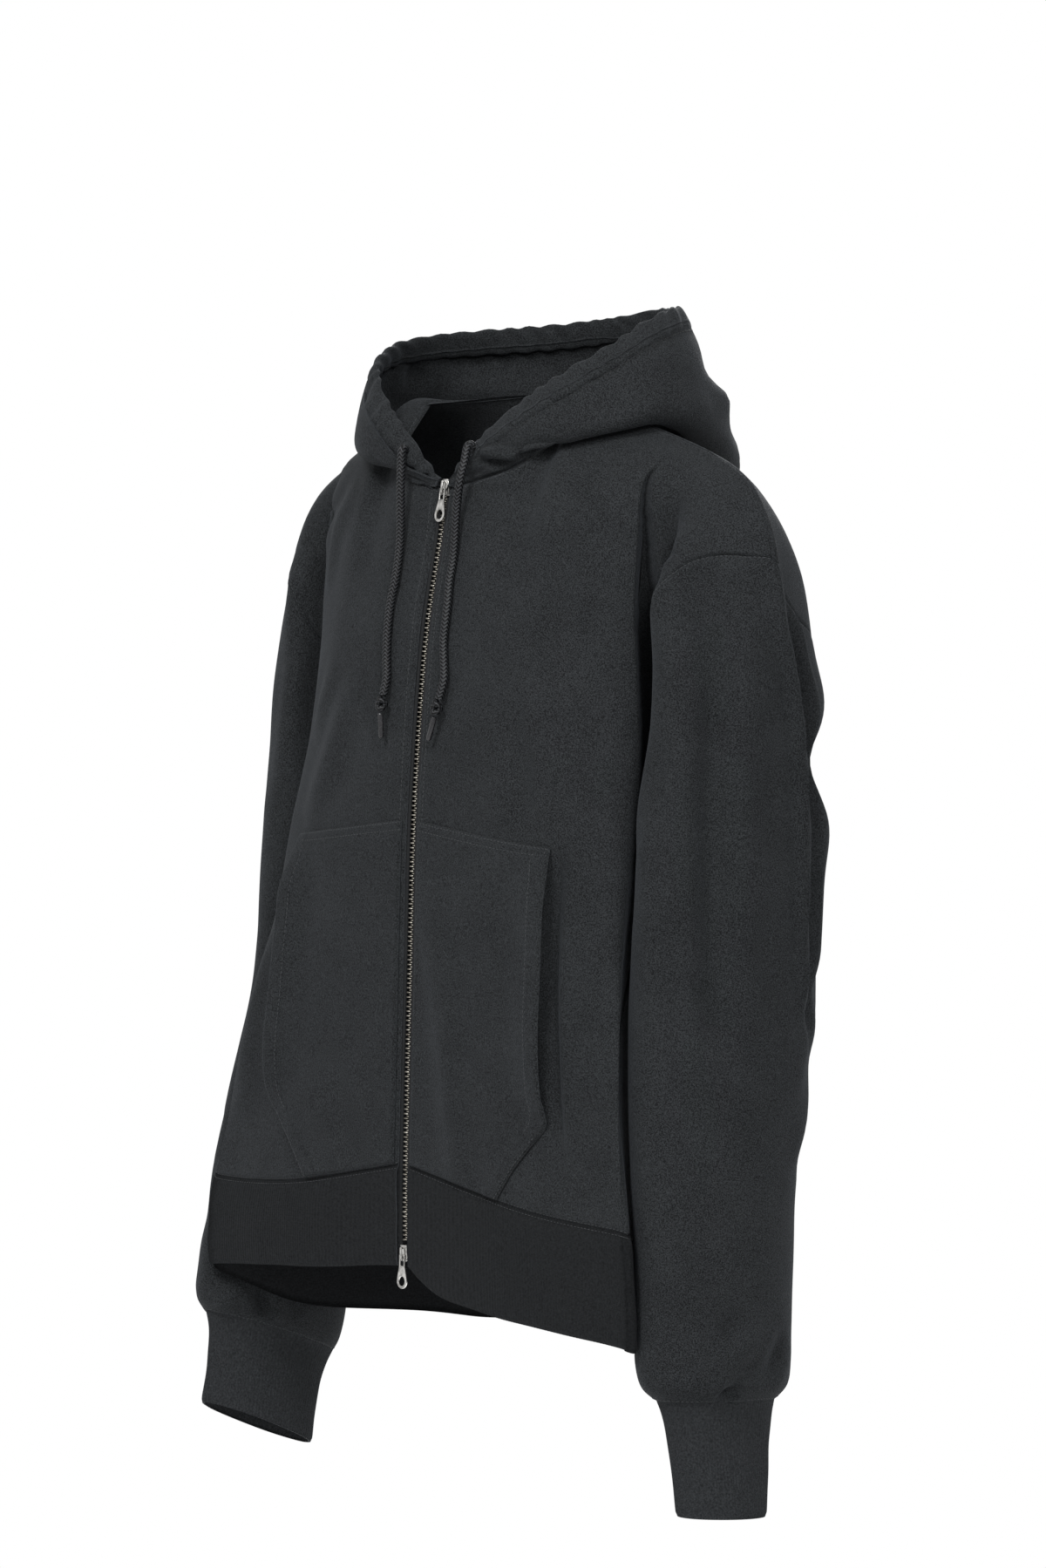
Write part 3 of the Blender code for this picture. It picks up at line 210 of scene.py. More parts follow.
class Finish:
    """A finish of this garment, built up from speckle, threads, tones and relief in the piece's own metres."""

    def __init__(self, name):
        self.material = bpy.data.materials.new(name)
        self.material.use_nodes = True
        self.nodes = self.material.node_tree.nodes
        self.links = self.material.node_tree.links
        self.shader = self.nodes["Principled BSDF"]
        self.place = self.nodes.new("ShaderNodeTexCoord")
        self.normal = None

    def speckle(self, scale, detail=2.0):
        """Fine random variation."""
        made = self.nodes.new("ShaderNodeTexNoise")
        made.inputs["Scale"].default_value = scale
        made.inputs["Detail"].default_value = detail
        self.links.new(self.place.outputs["Object"], made.inputs["Vector"])
        return made.outputs["Fac"]

    def threads(self, direction, pitch, wander, laid_on="UV"):
        """Even rows of thread that wander a little. At scale 1 the node's wave turns 20 radians in a metre."""
        made = self.nodes.new("ShaderNodeTexWave")
        made.wave_type = "BANDS"
        made.bands_direction = direction
        made.inputs["Scale"].default_value = 2 * math.pi / (20 * pitch)
        made.inputs["Distortion"].default_value = wander
        self.links.new(self.place.outputs[laid_on], made.inputs["Vector"])
        return made

    def tones(self, amount, dark, pale, low=0.0, high=1.0):
        """Colours the surface from dark to pale as the amount goes from low to high."""
        shades = self.nodes.new("ShaderNodeValToRGB")
        for stop, position, tone in zip(shades.color_ramp.elements, (low, high), (dark, pale)):
            stop.position = position
            stop.color = (*tone, 1.0)
        self.links.new(amount, shades.inputs["Fac"])
        self.links.new(shades.outputs["Color"], self.shader.inputs["Base Color"])

    def dulling(self, amount, first, last):
        """Roughness that goes from the first value to the last with the amount."""
        made = self.nodes.new("ShaderNodeMapRange")
        made.inputs["To Min"].default_value = first
        made.inputs["To Max"].default_value = last
        self.links.new(amount, made.inputs["Value"])
        self.links.new(made.outputs["Result"], self.shader.inputs["Roughness"])

    def relief(self, height, strength, distance):
        """Fine relief, on top of any that was laid before."""
        made = self.nodes.new("ShaderNodeBump")
        made.inputs["Strength"].default_value = strength
        made.inputs["Distance"].default_value = distance
        self.links.new(height, made.inputs["Height"])
        if self.normal is not None:
            self.links.new(self.normal, made.inputs["Normal"])
        self.normal = made.outputs["Normal"]
        self.links.new(self.normal, self.shader.inputs["Normal"])

    def surface(self, values):
        """Sets the shader's plain values and hands over the finished material."""
        for socket, value in values.items():
            self.shader.inputs[socket].default_value = value
        return self.material


def cord_finish():
    """Charcoal filament yarn, with painted light and shade: nearly black in the gaps between the strands,
    where shade falls, and lighter on their crests.
    """
    finish = Finish("braided cord")
    painted_strand_shade_node = finish.nodes.new("ShaderNodeAttribute")
    painted_strand_shade_node.attribute_name = "shade"
    # painted shade and light: the strand height turns the colour nearly black in the gaps and lighter on the
    # crests
    finish.tones(painted_strand_shade_node.outputs["Fac"], (0.0008, 0.0009, 0.0011), (0.026, 0.0275, 0.030), 0.70, 0.98)
    finish.relief(finish.speckle(900.0, 3.0), 0.35, 0.0003)
    return finish.surface({"Roughness": 0.50, "Specular IOR Level": 0.12})


def strand_height(distance, angle):
    """Height of a braid's face, from 0 to 1: strands of two slants meet in rows of V shapes along the cord."""
    slant = np.abs((angle * BRAID_ROWS / (2 * np.pi)) % 1.0 - 0.5) * 2.0
    return np.abs(np.cos(np.pi * (distance / BRAID_PITCH + BRAID_SLANT * slant)))


def braided(distance, angle):
    """Radius of the cord with its strands."""
    strands = strand_height(distance, angle) ** BRAID_CROWN
    return CORD_THICK / 2 * (1.0 - BRAID_RELIEF + BRAID_RELIEF * strands)


def dress(piece, finish, node, body="hoodie"):
    """Gives a piece its finish, attaches it to the body that it moves with, and hides the solid that it stands
    for.
    """
    piece.data.materials.append(finish)
    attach(piece, body)
    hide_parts(node)


cord_material_with_painted_shade = cord_finish()
cord_pieces = {}
for side, route in CORD_LINES.items():
    line = curve_through(route, CORD_STEP)
    # The strands' heights also go on the cord as its painted shade and light.
    painted_strand_shade = strand_height(lengths_along(line)[:, None], 2 * np.pi * np.arange(CORD_SIDES) / CORD_SIDES)
    piece = tube_piece("braided_drawcord_" + side, tube_rings(line, braided, CORD_SIDES), painted_strand_shade)
    dress(piece, cord_material_with_painted_shade, "drawcord_" + side)
    cord_pieces[side] = (piece, line)


# Front panels. Heavy cotton fleece with a plain knitted face, cut in two halves. They are sewn to the zip's
# tapes down the middle, to the back at the shoulders and sides, and to the sleeves round the armholes.
CLOTH = 0.0022
WELD = 2e-6
MESH_STEP = 0.0037
EDGE_STEPS = np.array([0.0, 0.0007, 0.0016, 0.0028, 0.0044])
RING_WRAP = 3
SEAM_SINK = 0.0019
SHALLOW_SINK = 0.0006
SEAM_ROUND = 0.0014
SEAM_HOLD, SEAM_HELD_SHARE = 0.012, 0.25
LAP = 0.0018
LAP_DIP = 0.4
SOFT_WAVE = 0.0011
SOFT_WAVE_SIZE = 0.075
RUMPLE = 0.00028
RUMPLE_SIZE = 0.024
FOLD_FADE = 0.6
FOLD_LIP, FOLD_LIP_PLACE = 0.30, 1.7
FOLD_LINE_STEP = 0.012
FRONT_ROWS, FRONT_COLUMNS = 19, 20
FRONT_CORNER = (0.0065, -0.066, -0.066)

# Each fold: the pieces it crosses, half width, height (a trough is negative), then points along it.
BODY_FOLDS = (
    # soft trough down the left chest
    (("front_left",), 0.013, -0.0045,
     ((0.104, -0.089, -0.227), (0.114, -0.090, -0.271), (0.1215, -0.091, -0.306), (0.126, -0.093, -0.335))),
    # long ridge over the left pocket, down to the waistband
    (("front_left", "pocket_left"), 0.016, 0.0036,
     ((0.0207, -0.1046, -0.368), (0.055, -0.110, -0.489), (0.0674, -0.112, -0.569),
      (0.0689, -0.1107, -0.624))),
    # hollow that the gaping pocket edge shades
    (("front_left",), 0.0065, -0.0090,
     ((0.1570, -0.082, -0.330), (0.1572, -0.0881, -0.3814), (0.1598, -0.0937, -0.4402),
      (0.1669, -0.0980, -0.4988), (0.1754, -0.1009, -0.5454), (0.182, -0.102, -0.575))),
    # slack that hangs over the neck seam at the throat
    (("front_left",), 0.0042, 0.0030,
     ((0.0361, -0.0652, -0.0620), (0.0530, -0.0619, -0.0600), (0.0691, -0.0580, -0.0608),
      (0.0860, -0.052, -0.0634))),
    # drag lines from the left shoulder
    (("front_left",), 0.010, 0.0036,
     ((0.129, -0.048, -0.066), (0.148, -0.053, -0.105), (0.153, -0.060, -0.158), (0.156, -0.062, -0.200))),
    (("front_left",), 0.008, -0.0030,
     ((0.112, -0.047, -0.053), (0.161, -0.044, -0.092), (0.1885, -0.029, -0.118))),
    # dimple above the armhole seam
    (("front_left",), 0.006, -0.0040,
     ((0.2120, -0.0260, -0.1080), (0.2200, -0.0250, -0.1137), (0.2280, -0.0240, -0.1200))),
    # the same on the right
    (("front_right",), 0.010, 0.0030,
     ((-0.126, -0.048, -0.064), (-0.148, -0.053, -0.102), (-0.156, -0.060, -0.150))),
    (("front_right",), 0.009, -0.0033,
     ((-0.148, -0.042, -0.068), (-0.180, -0.032, -0.090), (-0.212, -0.0165, -0.110))),
    # ridges that fall from the right chest towards the side
    (("front_right",), 0.015, 0.0039,
     ((-0.067, -0.0895, -0.205), (-0.0956, -0.0917, -0.244), (-0.115, -0.0906, -0.284),
      (-0.151, -0.0838, -0.3295))),
    (("front_right",), 0.012, 0.0030,
     ((-0.108, -0.086, -0.206), (-0.128, -0.082, -0.236), (-0.146, -0.078, -0.266))),
    (("front_right",), 0.016, 0.0039,
     ((-0.154, -0.098, -0.368), (-0.182, -0.090, -0.412), (-0.208, -0.082, -0.4535),
      (-0.221, -0.097, -0.577))),
)

# Where the body turns in behind the sleeve: the lip's line, then depth, flat width and run-out along it.
CREASE_LIP = (
    (0.1855, -0.0106, -0.0476), (0.1818, -0.0196, -0.0589), (0.1835, -0.0255, -0.0707),
    (0.1843, -0.0279, -0.0852), (0.1859, -0.0310, -0.1109), (0.1857, -0.0335, -0.1544),
    (0.1877, -0.0326, -0.2118), (0.1898, -0.0327, -0.2692), (0.1925, -0.0370, -0.3200),
    (0.1980, -0.0460, -0.3500),
)
CREASE_PLACES = (0.0, 0.10, 0.28, 0.42, 0.80, 1.0)
CREASE_DEPTHS = (0.002, 0.012, 0.022, 0.028, 0.028, 0.004)
CREASE_FLATS = (0.002, 0.004, 0.009, 0.018, 0.018, 0.010)
CREASE_RUNS = (0.006, 0.009, 0.012, 0.020, 0.020, 0.015)
CREASE_NEAR, CREASE_FADE = 0.012, 0.008
CREASE_TURN = 0.0045
CREASE_INWARDS = (-0.77, 0.64, 0.0)
CREASE_COLUMNS = (12.3, 14.8, 0.06)

# The sleeve's bend at the shoulder's end: how deep it is softened, how far round, and how far from the seam.
SHOULDER_END = (0.290, 0.024, -0.118)
SHOULDER_ROUND = 0.0075
SHOULDER_REACH = 0.085
SHOULDER_WIDTH = 0.050
SHOULDER_INWARDS = (-0.97, 0.0, -0.23)


def on_side(places, sign):
    """Places of the left half as they are, or mirrored to the right half."""
    return np.array(places) * (sign, 1, 1)


def outer_layer(node, wall):
    """Points and triangles of the outer face of a cloth solid, without its inner face and its edges."""
    mesh = bmesh.new()
    mesh.from_mesh(frame["nodes"][node].data)
    bmesh.ops.remove_doubles(mesh, verts=mesh.verts, dist=WELD)
    edging = [f for f in mesh.faces if any(abs(e.calc_length() - wall) < WELD for e in f.edges)]
    bmesh.ops.delete(mesh, geom=edging, context="FACES")
    return largest_patch(mesh)


def largest_patch(mesh):
    """Points and triangles of the connected faces that cover the most."""
    patches, seen = [], set()
    for first in mesh.faces:
        if first in seen:
            continue
        seen.add(first)
        patch, waiting = [], [first]
        while waiting:
            face = waiting.pop()
            patch.append(face)
            for near in (other for edge in face.edges for other in edge.link_faces):
                if near not in seen:
                    seen.add(near)
                    waiting.append(near)
        patches.append(patch)
    patch = max(patches, key=lambda faces: sum(face.calc_area() for face in faces))
    numbers, points, triangles = {}, [], []
    for face in patch:
        for corner in face.verts:
            if corner not in numbers:
                numbers[corner] = len(points)
                points.append(np.array(corner.co))
        triangles.append([numbers[corner] for corner in face.verts])
    outward = unit(np.array([np.array(face.normal) for face in patch]))
    mesh.free()
    return np.array(points), triangles, outward


def laid_out(points, triangles, rows, columns, corner, heading, ring=False):
    """The rows and columns that a layer's points lie in, found by walking its triangles from one corner."""
    across_edge, touching = {}, {}
    for number, triangle in enumerate(triangles):
        for place in range(3):
            a, b, c = triangle[place], triangle[place - 2], triangle[place - 1]
            across_edge.setdefault(frozenset((a, b)), []).append((number, c))
            touching.setdefault(a, set()).update((b, c))
    rim = {}
    for edge, found in across_edge.items():
        if len(found) == 1:
            a, b = edge
            rim.setdefault(a, []).append(b)
            rim.setdefault(b, []).append(a)
    start = min(rim, key=lambda p: np.linalg.norm(points[p] - np.array(corner)))
    first = max(rim[start], key=lambda p: np.dot(unit(points[p] - points[start]), heading))

    def along_rim(here, ahead, count):
        walked = [here]
        while len(walked) < count:
            walked.append(ahead)
            here, ahead = ahead, next(p for p in rim[ahead] if p != here)
        return walked

    grid = np.full((rows, columns), -1)
    grid[0] = along_rim(start, first, columns)
    if not ring:
        other = next(p for p in rim[start] if p != first)
        grid[:, 0] = along_rim(start, other, rows)
    used = set()
    for row in range(rows - 1):
        begin = 0
        if ring:
            done = set(grid[row]) | set(grid[max(row - 1, 0)])
            ways = [sorted(touching[p] - done) for p in grid[row]]
            begin = next((c for c, way in enumerate(ways) if len(way) == 1), 0)
            above = points[grid[row, begin]]
            grid[row + 1, begin] = min(ways[begin], key=lambda p: np.linalg.norm(points[p] - above))
        for step in range(columns - 1):
            column = (begin + step) % columns
            after = (column + 1) % columns
            a, b, d = grid[row, column], grid[row, after], grid[row + 1, column]
            number, apex = next(f for f in across_edge[frozenset((a, b))] if f[0] not in used)
            shared = (b, d) if apex == d else (a, apex)
            second, far = next(f for f in across_edge[frozenset(shared)] if f[0] != number)
            grid[row + 1, after] = far if apex == d else apex
            used.update((number, second))
        if ring:
            last = (begin - 1) % columns
            a, b, d = grid[row, last], grid[row, begin], grid[row + 1, last]
            number, apex = next(f for f in across_edge[frozenset((a, b))] if f[0] not in used)
            shared = (b, d) if apex == d else (a, apex)
            second, _ = next(f for f in across_edge[frozenset(shared)] if f[0] != number)
            used.update((number, second))
    return points[grid]


def between(values, places):
    """Values at places between whole rows, on smooth curves through the rows' own values."""
    slopes = np.gradient(values, axis=0)
    low = np.clip(places.astype(int), 0, len(values) - 2)
    share = (places - low)[:, None, None]
    square, cube = share**2, share**3
    return (
        (2 * cube - 3 * square + 1) * values[low]
        + (cube - 2 * square + share) * slopes[low]
        + (3 * square - 2 * cube) * values[low + 1]
        + (cube - square) * slopes[low + 1]
    )


def spread_places(spans, length, step, near_start, near_end):
    """Places along a grid's rows or columns: even, and closer together beside a sewn edge."""
    close = EDGE_STEPS * spans / length
    low = close if near_start else close[:1]
    high = spans - (close if near_end else close[:1])[::-1]
    count = max(3, int(round((high[0] - low[-1]) * length / spans / step)) + 1)
    return np.concatenate([low[:-1], np.linspace(low[-1], high[0], count), high[1:]])


def mean_length(grid):
    """Mean length of a grid's columns."""
    return np.linalg.norm(np.diff(grid, axis=0), axis=2).sum(axis=0).mean()


class Cloth:
    """A cloth surface on rows and columns, with outward normals and the cloth's own lengths in metres."""

    def __init__(self, points, ring, outward_sign):
        self.points = points
        self.ring = ring
        self.outward_sign = outward_sign
        self.starts_at_middle = False
        self.measure()

    def measure(self):
        """Works out the normals and lengths again from the points."""
        around = self.points
        if self.ring:
            around = np.concatenate([around[:, -1:], around, around[:, :1]], axis=1)
        rows_way = np.gradient(around, axis=0)
        columns_way = np.gradient(around, axis=1)
        normals = unit(np.cross(columns_way, rows_way)) * self.outward_sign
        self.normals = normals[:, 1:-1] if self.ring else normals
        if self.starts_at_middle:
            self.normals[:, 0, 0] = 0.0
            self.normals[:, 0] = unit(self.normals[:, 0])
        closed = self.points
        if self.ring:
            closed = np.concatenate([closed, closed[:, :1]], axis=1)
        steps = np.linalg.norm(np.diff(closed, axis=1), axis=2)
        self.across = np.concatenate([np.zeros((len(closed), 1)), np.cumsum(steps, axis=1)], axis=1)
        steps = np.linalg.norm(np.diff(self.points, axis=0), axis=2)
        self.down = np.concatenate([np.zeros((1, steps.shape[1])), np.cumsum(steps, axis=0)])

    def raise_by(self, heights):
        """Moves each point outwards by its own height."""
        self.points = self.points + self.normals * heights[:, :, None]

    def line_inside(self, wall):
        """Lays the inner face a wall's thickness behind the surface as it is now."""
        self.inside = self.points - self.normals * wall

    def lap(self, edges, reach=LAP):
        """Carries edges on and down, under the cloth that they are sewn to."""
        rims = {
            "top": (self.points[0], self.points[1], self.normals[0]),
            "bottom": (self.points[-1], self.points[-2], self.normals[-1]),
            "start": (self.points[:, 0], self.points[:, 1], self.normals[:, 0]),
            "end": (self.points[:, -1], self.points[:, -2], self.normals[:, -1]),
        }
        for edge in edges:
            rim, within, outward = rims[edge]
            rim += reach * unit(rim - within) - LAP_DIP * reach * outward

    def edge_distance(self, edges):
        """Distance of each point to the nearest of the named edges."""
        across = self.across[:, : self.points.shape[1]]
        far = {
            "top": self.down,
            "bottom": self.down[-1] - self.down,
            "start": across,
            "end": self.across[:, -1:] - across,
        }
        nearest = np.full(self.down.shape, np.inf)
        for edge in edges:
            nearest = np.minimum(nearest, far[edge])
        return nearest


def wrapped_round(grid):
    """A ring's columns with a few repeated at each end, so that curves run smoothly across its start."""
    return np.concatenate([grid[:, -RING_WRAP:], grid, grid[:, :RING_WRAP]], axis=1)


def cloth_from(node, wall, rows, columns, corner, heading, ring=False, edges=(), step=MESH_STEP, counts=None,
               close=None):
    """The fine surface of a cloth solid, sampled closer beside its sewn edges and at the close columns."""
    points, triangles, outward = outer_layer(node, wall)
    grid = laid_out(points, triangles, rows, columns, corner, heading, ring)
    first = points[triangles[0]]
    length, width = mean_length(grid), mean_length(grid.transpose(1, 0, 2))
    if counts:
        down = np.linspace(0, rows - 1, counts[0])
    else:
        down = spread_places(rows - 1, length, step, "top" in edges, "bottom" in edges)
    fine = between(grid, down)
    if ring:
        count = counts[1] if counts else int(round(width * columns / (columns - 1) / step))
        places = np.arange(count) * columns / count + RING_WRAP
        fine = between(wrapped_round(fine).transpose(1, 0, 2), places).transpose(1, 0, 2)
    else:
        if counts:
            places = np.linspace(0, columns - 1, counts[1])
        else:
            places = spread_places(columns - 1, width, step, "start" in edges, "end" in edges)
            if close:
                places = np.union1d(places, np.arange(*close))
        fine = between(fine.transpose(1, 0, 2), places).transpose(1, 0, 2)
    made = Cloth(fine, ring, 1.0)
    nearest = np.argmin(np.linalg.norm(fine.reshape(-1, 3) - first.mean(axis=0), axis=1))
    if np.dot(made.normals.reshape(-1, 3)[nearest], outward[0]) < 0:
        made = Cloth(fine, ring, -1.0)
    return made


def line_distance(points, line):
    """Distance to a line through the given points, and how far along it the nearest place is, from 0 to 1."""
    line = curve_through(line, FOLD_LINE_STEP)
    lengths = lengths_along(line)
    best = np.full(len(points), np.inf)
    share = np.zeros(len(points))
    for start, end, before in zip(line[:-1], line[1:], lengths):
        way = end - start
        reach = np.clip((points - start) @ way / (way @ way), 0.0, 1.0)
        apart = np.linalg.norm(points - start - reach[:, None] * way, axis=1)
        nearer = apart < best
        best[nearer] = apart[nearer]
        share[nearer] = ((before + reach * np.linalg.norm(way)) / lengths[-1])[nearer]
    return best, share


def fold_heights(name, points, folds):
    """Height of the placed folds: a rounded ridge or trough with soft lips, which dies out at both ends."""
    flat = points.reshape(-1, 3)
    heights = np.zeros(len(flat))
    for pieces, width, height, line in folds:
        if name not in pieces:
            continue
        apart, share = line_distance(flat, line)
        fade = np.sin(np.pi * np.clip(share, 0.0, 1.0)) ** FOLD_FADE
        middle = np.exp(-((apart / width) ** 2))
        lips = np.exp(-(((apart - FOLD_LIP_PLACE * width) / width) ** 2))
        heights += height * fade * (middle - FOLD_LIP * lips)
    return heights.reshape(points.shape[:2])


def soft_noise(points, size, stretch=(1.0, 1.0, 1.0), shift=0.0):
    """Smooth uneven waves of about the given size, from -1 to 1."""
    scaled = points.reshape(-1, 3) / (size * np.array(stretch)) + shift
    values = np.array([noise.noise(Vector(place)) for place in scaled])
    return values.reshape(points.shape[:2])


def cloth_relief(cloth, name, folds, edges, wall, slack=1.0, lapped=(), shallow=()):
    """The surface of worn cloth: its folds, soft waves and the way that it rolls into its seams."""
    heights = fold_heights(name, cloth.points, folds)
    heights += slack * SOFT_WAVE * soft_noise(cloth.points, SOFT_WAVE_SIZE, (1.0, 1.0, 1.7))
    heights += slack * RUMPLE * soft_noise(cloth.points, RUMPLE_SIZE, (1.0, 1.0, 1.3), 7.3)
    apart = cloth.edge_distance(edges)
    heights *= eased(apart / SEAM_HOLD) * (1.0 - SEAM_HELD_SHARE) + SEAM_HELD_SHARE
    cloth.raise_by(heights)
    cloth.measure()
    cloth.line_inside(wall)
    sink = np.where(cloth.edge_distance(shallow) <= apart, SHALLOW_SINK, SEAM_SINK)
    cloth.raise_by(-sink * np.exp(-((apart / SEAM_ROUND) ** 2)))
    cloth.lap(lapped)
    cloth.measure()
    return cloth


def draw_in(cloth, lip, inwards):
    """Draws the cloth in behind a lip line, row by row, so that it leaves a deep shaded crease."""
    lip = curve_through(lip, 0.003)
    places = lengths_along(lip) / lengths_along(lip)[-1]
    apart = np.linalg.norm(cloth.points[:, :, None] - lip, axis=3)
    column = apart.min(axis=2).argmin(axis=1)
    row = np.arange(len(column))
    share = places[apart[row, column].argmin(axis=1)]
    near = eased((CREASE_NEAR - apart[row, column].min(axis=1)) / CREASE_FADE)
    depth = near * np.interp(share, CREASE_PLACES, CREASE_DEPTHS)
    flat = np.interp(share, CREASE_PLACES, CREASE_FLATS)[:, None]
    run = np.interp(share, CREASE_PLACES, CREASE_RUNS)[:, None]
    beyond = cloth.across[:, : cloth.points.shape[1]] - cloth.across[row, column][:, None]
    profile = eased(beyond / CREASE_TURN) * (1.0 - eased((beyond - flat) / run))
    cloth.points = cloth.points + (depth[:, None] * profile)[:, :, None] * inwards
    cloth.measure()


def round_shoulder(cloth, edge, sign):
    """Softens the bend where the sleeve drops from the shoulder's end."""
    apart = np.linalg.norm(cloth.points - on_side(SHOULDER_END, sign), axis=2)
    near = eased(1.0 - apart / SHOULDER_REACH)
    bend = np.clip(1.0 - cloth.edge_distance((edge,)) / SHOULDER_WIDTH, 0.0, 1.0) ** 2
    cloth.points = cloth.points + (SHOULDER_ROUND * near * bend)[:, :, None] * on_side(SHOULDER_INWARDS, sign)
    cloth.measure()


def wall_faces(rows, columns, ring):
    """Faces of a wall on a grid: its outer face, its inner face and the strips that join them at the edges."""
    inside = rows * columns
    wide = columns if ring else columns - 1
    row, column = np.meshgrid(np.arange(rows - 1), np.arange(wide), indexing="ij")
    row, column = row.ravel(), column.ravel()
    after = (column + 1) % columns
    low, high = row * columns, (row + 1) * columns
    outer = np.stack([low + column, low + after, high + after, high + column], axis=1)
    loops = []
    top = np.arange(wide)
    beside = (top + 1) % columns
    last = (rows - 1) * columns
    loops.append(np.stack([beside, top], axis=1))
    loops.append(np.stack([last + top, last + beside], axis=1))
    if not ring:
        side = np.arange(rows - 1) * columns
        loops.append(np.stack([side, side + columns], axis=1))
        loops.append(np.stack([side + 2 * columns - 1, side + columns - 1], axis=1))
    edges = np.concatenate(loops)
    strips = np.stack([edges[:, 0], edges[:, 1], edges[:, 1] + inside, edges[:, 0] + inside], axis=1)
    return np.concatenate([outer, outer[:, ::-1] + inside, strips[:, ::-1]])


def cloth_piece(name, cloth):
    """The cloth as a thin wall between its outer and inner faces, with its own lengths as its UV map."""
    rows, columns = cloth.points.shape[:2]
    faces = wall_faces(rows, columns, cloth.ring)
    if cloth.outward_sign > 0:
        faces = faces[:, ::-1]
    points = np.concatenate([cloth.points.reshape(-1, 3), cloth.inside.reshape(-1, 3)])
    piece = mesh_piece(name, points, faces.tolist())
    place = faces % (rows * columns)
    row, column = place // columns, place % columns
    lengths = np.stack([cloth.across[row, column], cloth.down[row, column]], axis=2)
    if cloth.ring:
        over = (column == 0) & (column.max(axis=1, keepdims=True) == columns - 1)
        lengths[:, :, 0] = np.where(over, cloth.across[row, np.full_like(row, columns)], lengths[:, :, 0])
    layer = piece.data.uv_layers.new(name="cloth")
    layer.data.foreach_set("uv", lengths.reshape(-1))
    return piece


KNIT_SURFACE = {
    "Specular IOR Level": 0.08,
    "Sheen Weight": 0.035,
    "Sheen Roughness": 0.35,
    "Sheen Tint": (0.80, 0.88, 1.0, 1.0),
}


def sewn_piece(kind, node, cloth, finish):
    """A cloth piece, named by its kind of cloth and the solid that it stands for, with its lengths as its UV
    map and its finish.
    """
    piece = cloth_piece(kind + "_" + node, cloth)
    dress(piece, finish, node)


def fleece_finish():
    """Charcoal cotton knit: rows of fine loops, a soft nap and slightly uneven dye."""
    finish = Finish("charcoal fleece")
    nap = finish.speckle(1050.0)
    dye = finish.nodes.new("ShaderNodeMath")
    dye.operation = "MULTIPLY"
    dye.inputs[1].default_value = 0.12
    finish.links.new(finish.speckle(26.0, 5.0), dye.inputs[0])
    both = finish.nodes.new("ShaderNodeMath")
    both.operation = "MULTIPLY_ADD"
    both.inputs[1].default_value = 0.88
    finish.links.new(nap, both.inputs[0])
    finish.links.new(dye.outputs["Value"], both.inputs[2])
    finish.tones(both.outputs["Value"], (0.0028, 0.0031, 0.0034), (0.0162, 0.0178, 0.0191), 0.37, 0.64)
    wales = finish.threads("X", 0.00125, 1.2)
    wales.inputs["Detail"].default_value = 1.0
    wales.inputs["Detail Scale"].default_value = 2.0
    finish.relief(wales.outputs["Fac"], 0.30, 0.00025)
    finish.relief(nap, 0.9, 0.0009)
    return finish.surface({"Roughness": 0.92, **KNIT_SURFACE})


fleece = fleece_finish()
cloths = {}
all_edges = ("top", "bottom", "start", "end")
for side, sign in (("left", 1), ("right", -1)):
    node = "front_" + side
    cloth = cloth_from(node, CLOTH, FRONT_ROWS, FRONT_COLUMNS, on_side(FRONT_CORNER, sign), (sign, 0, 0),
                       edges=all_edges, close=CREASE_COLUMNS)
    draw_in(cloth, on_side(CREASE_LIP, sign), on_side(CREASE_INWARDS, sign))
    round_shoulder(cloth, "end", sign)
    cloths[node] = cloth_relief(cloth, node, BODY_FOLDS, all_edges, CLOTH, lapped=("top", "bottom", "end"))
    sewn_piece("fleece", node, cloths[node], fleece)


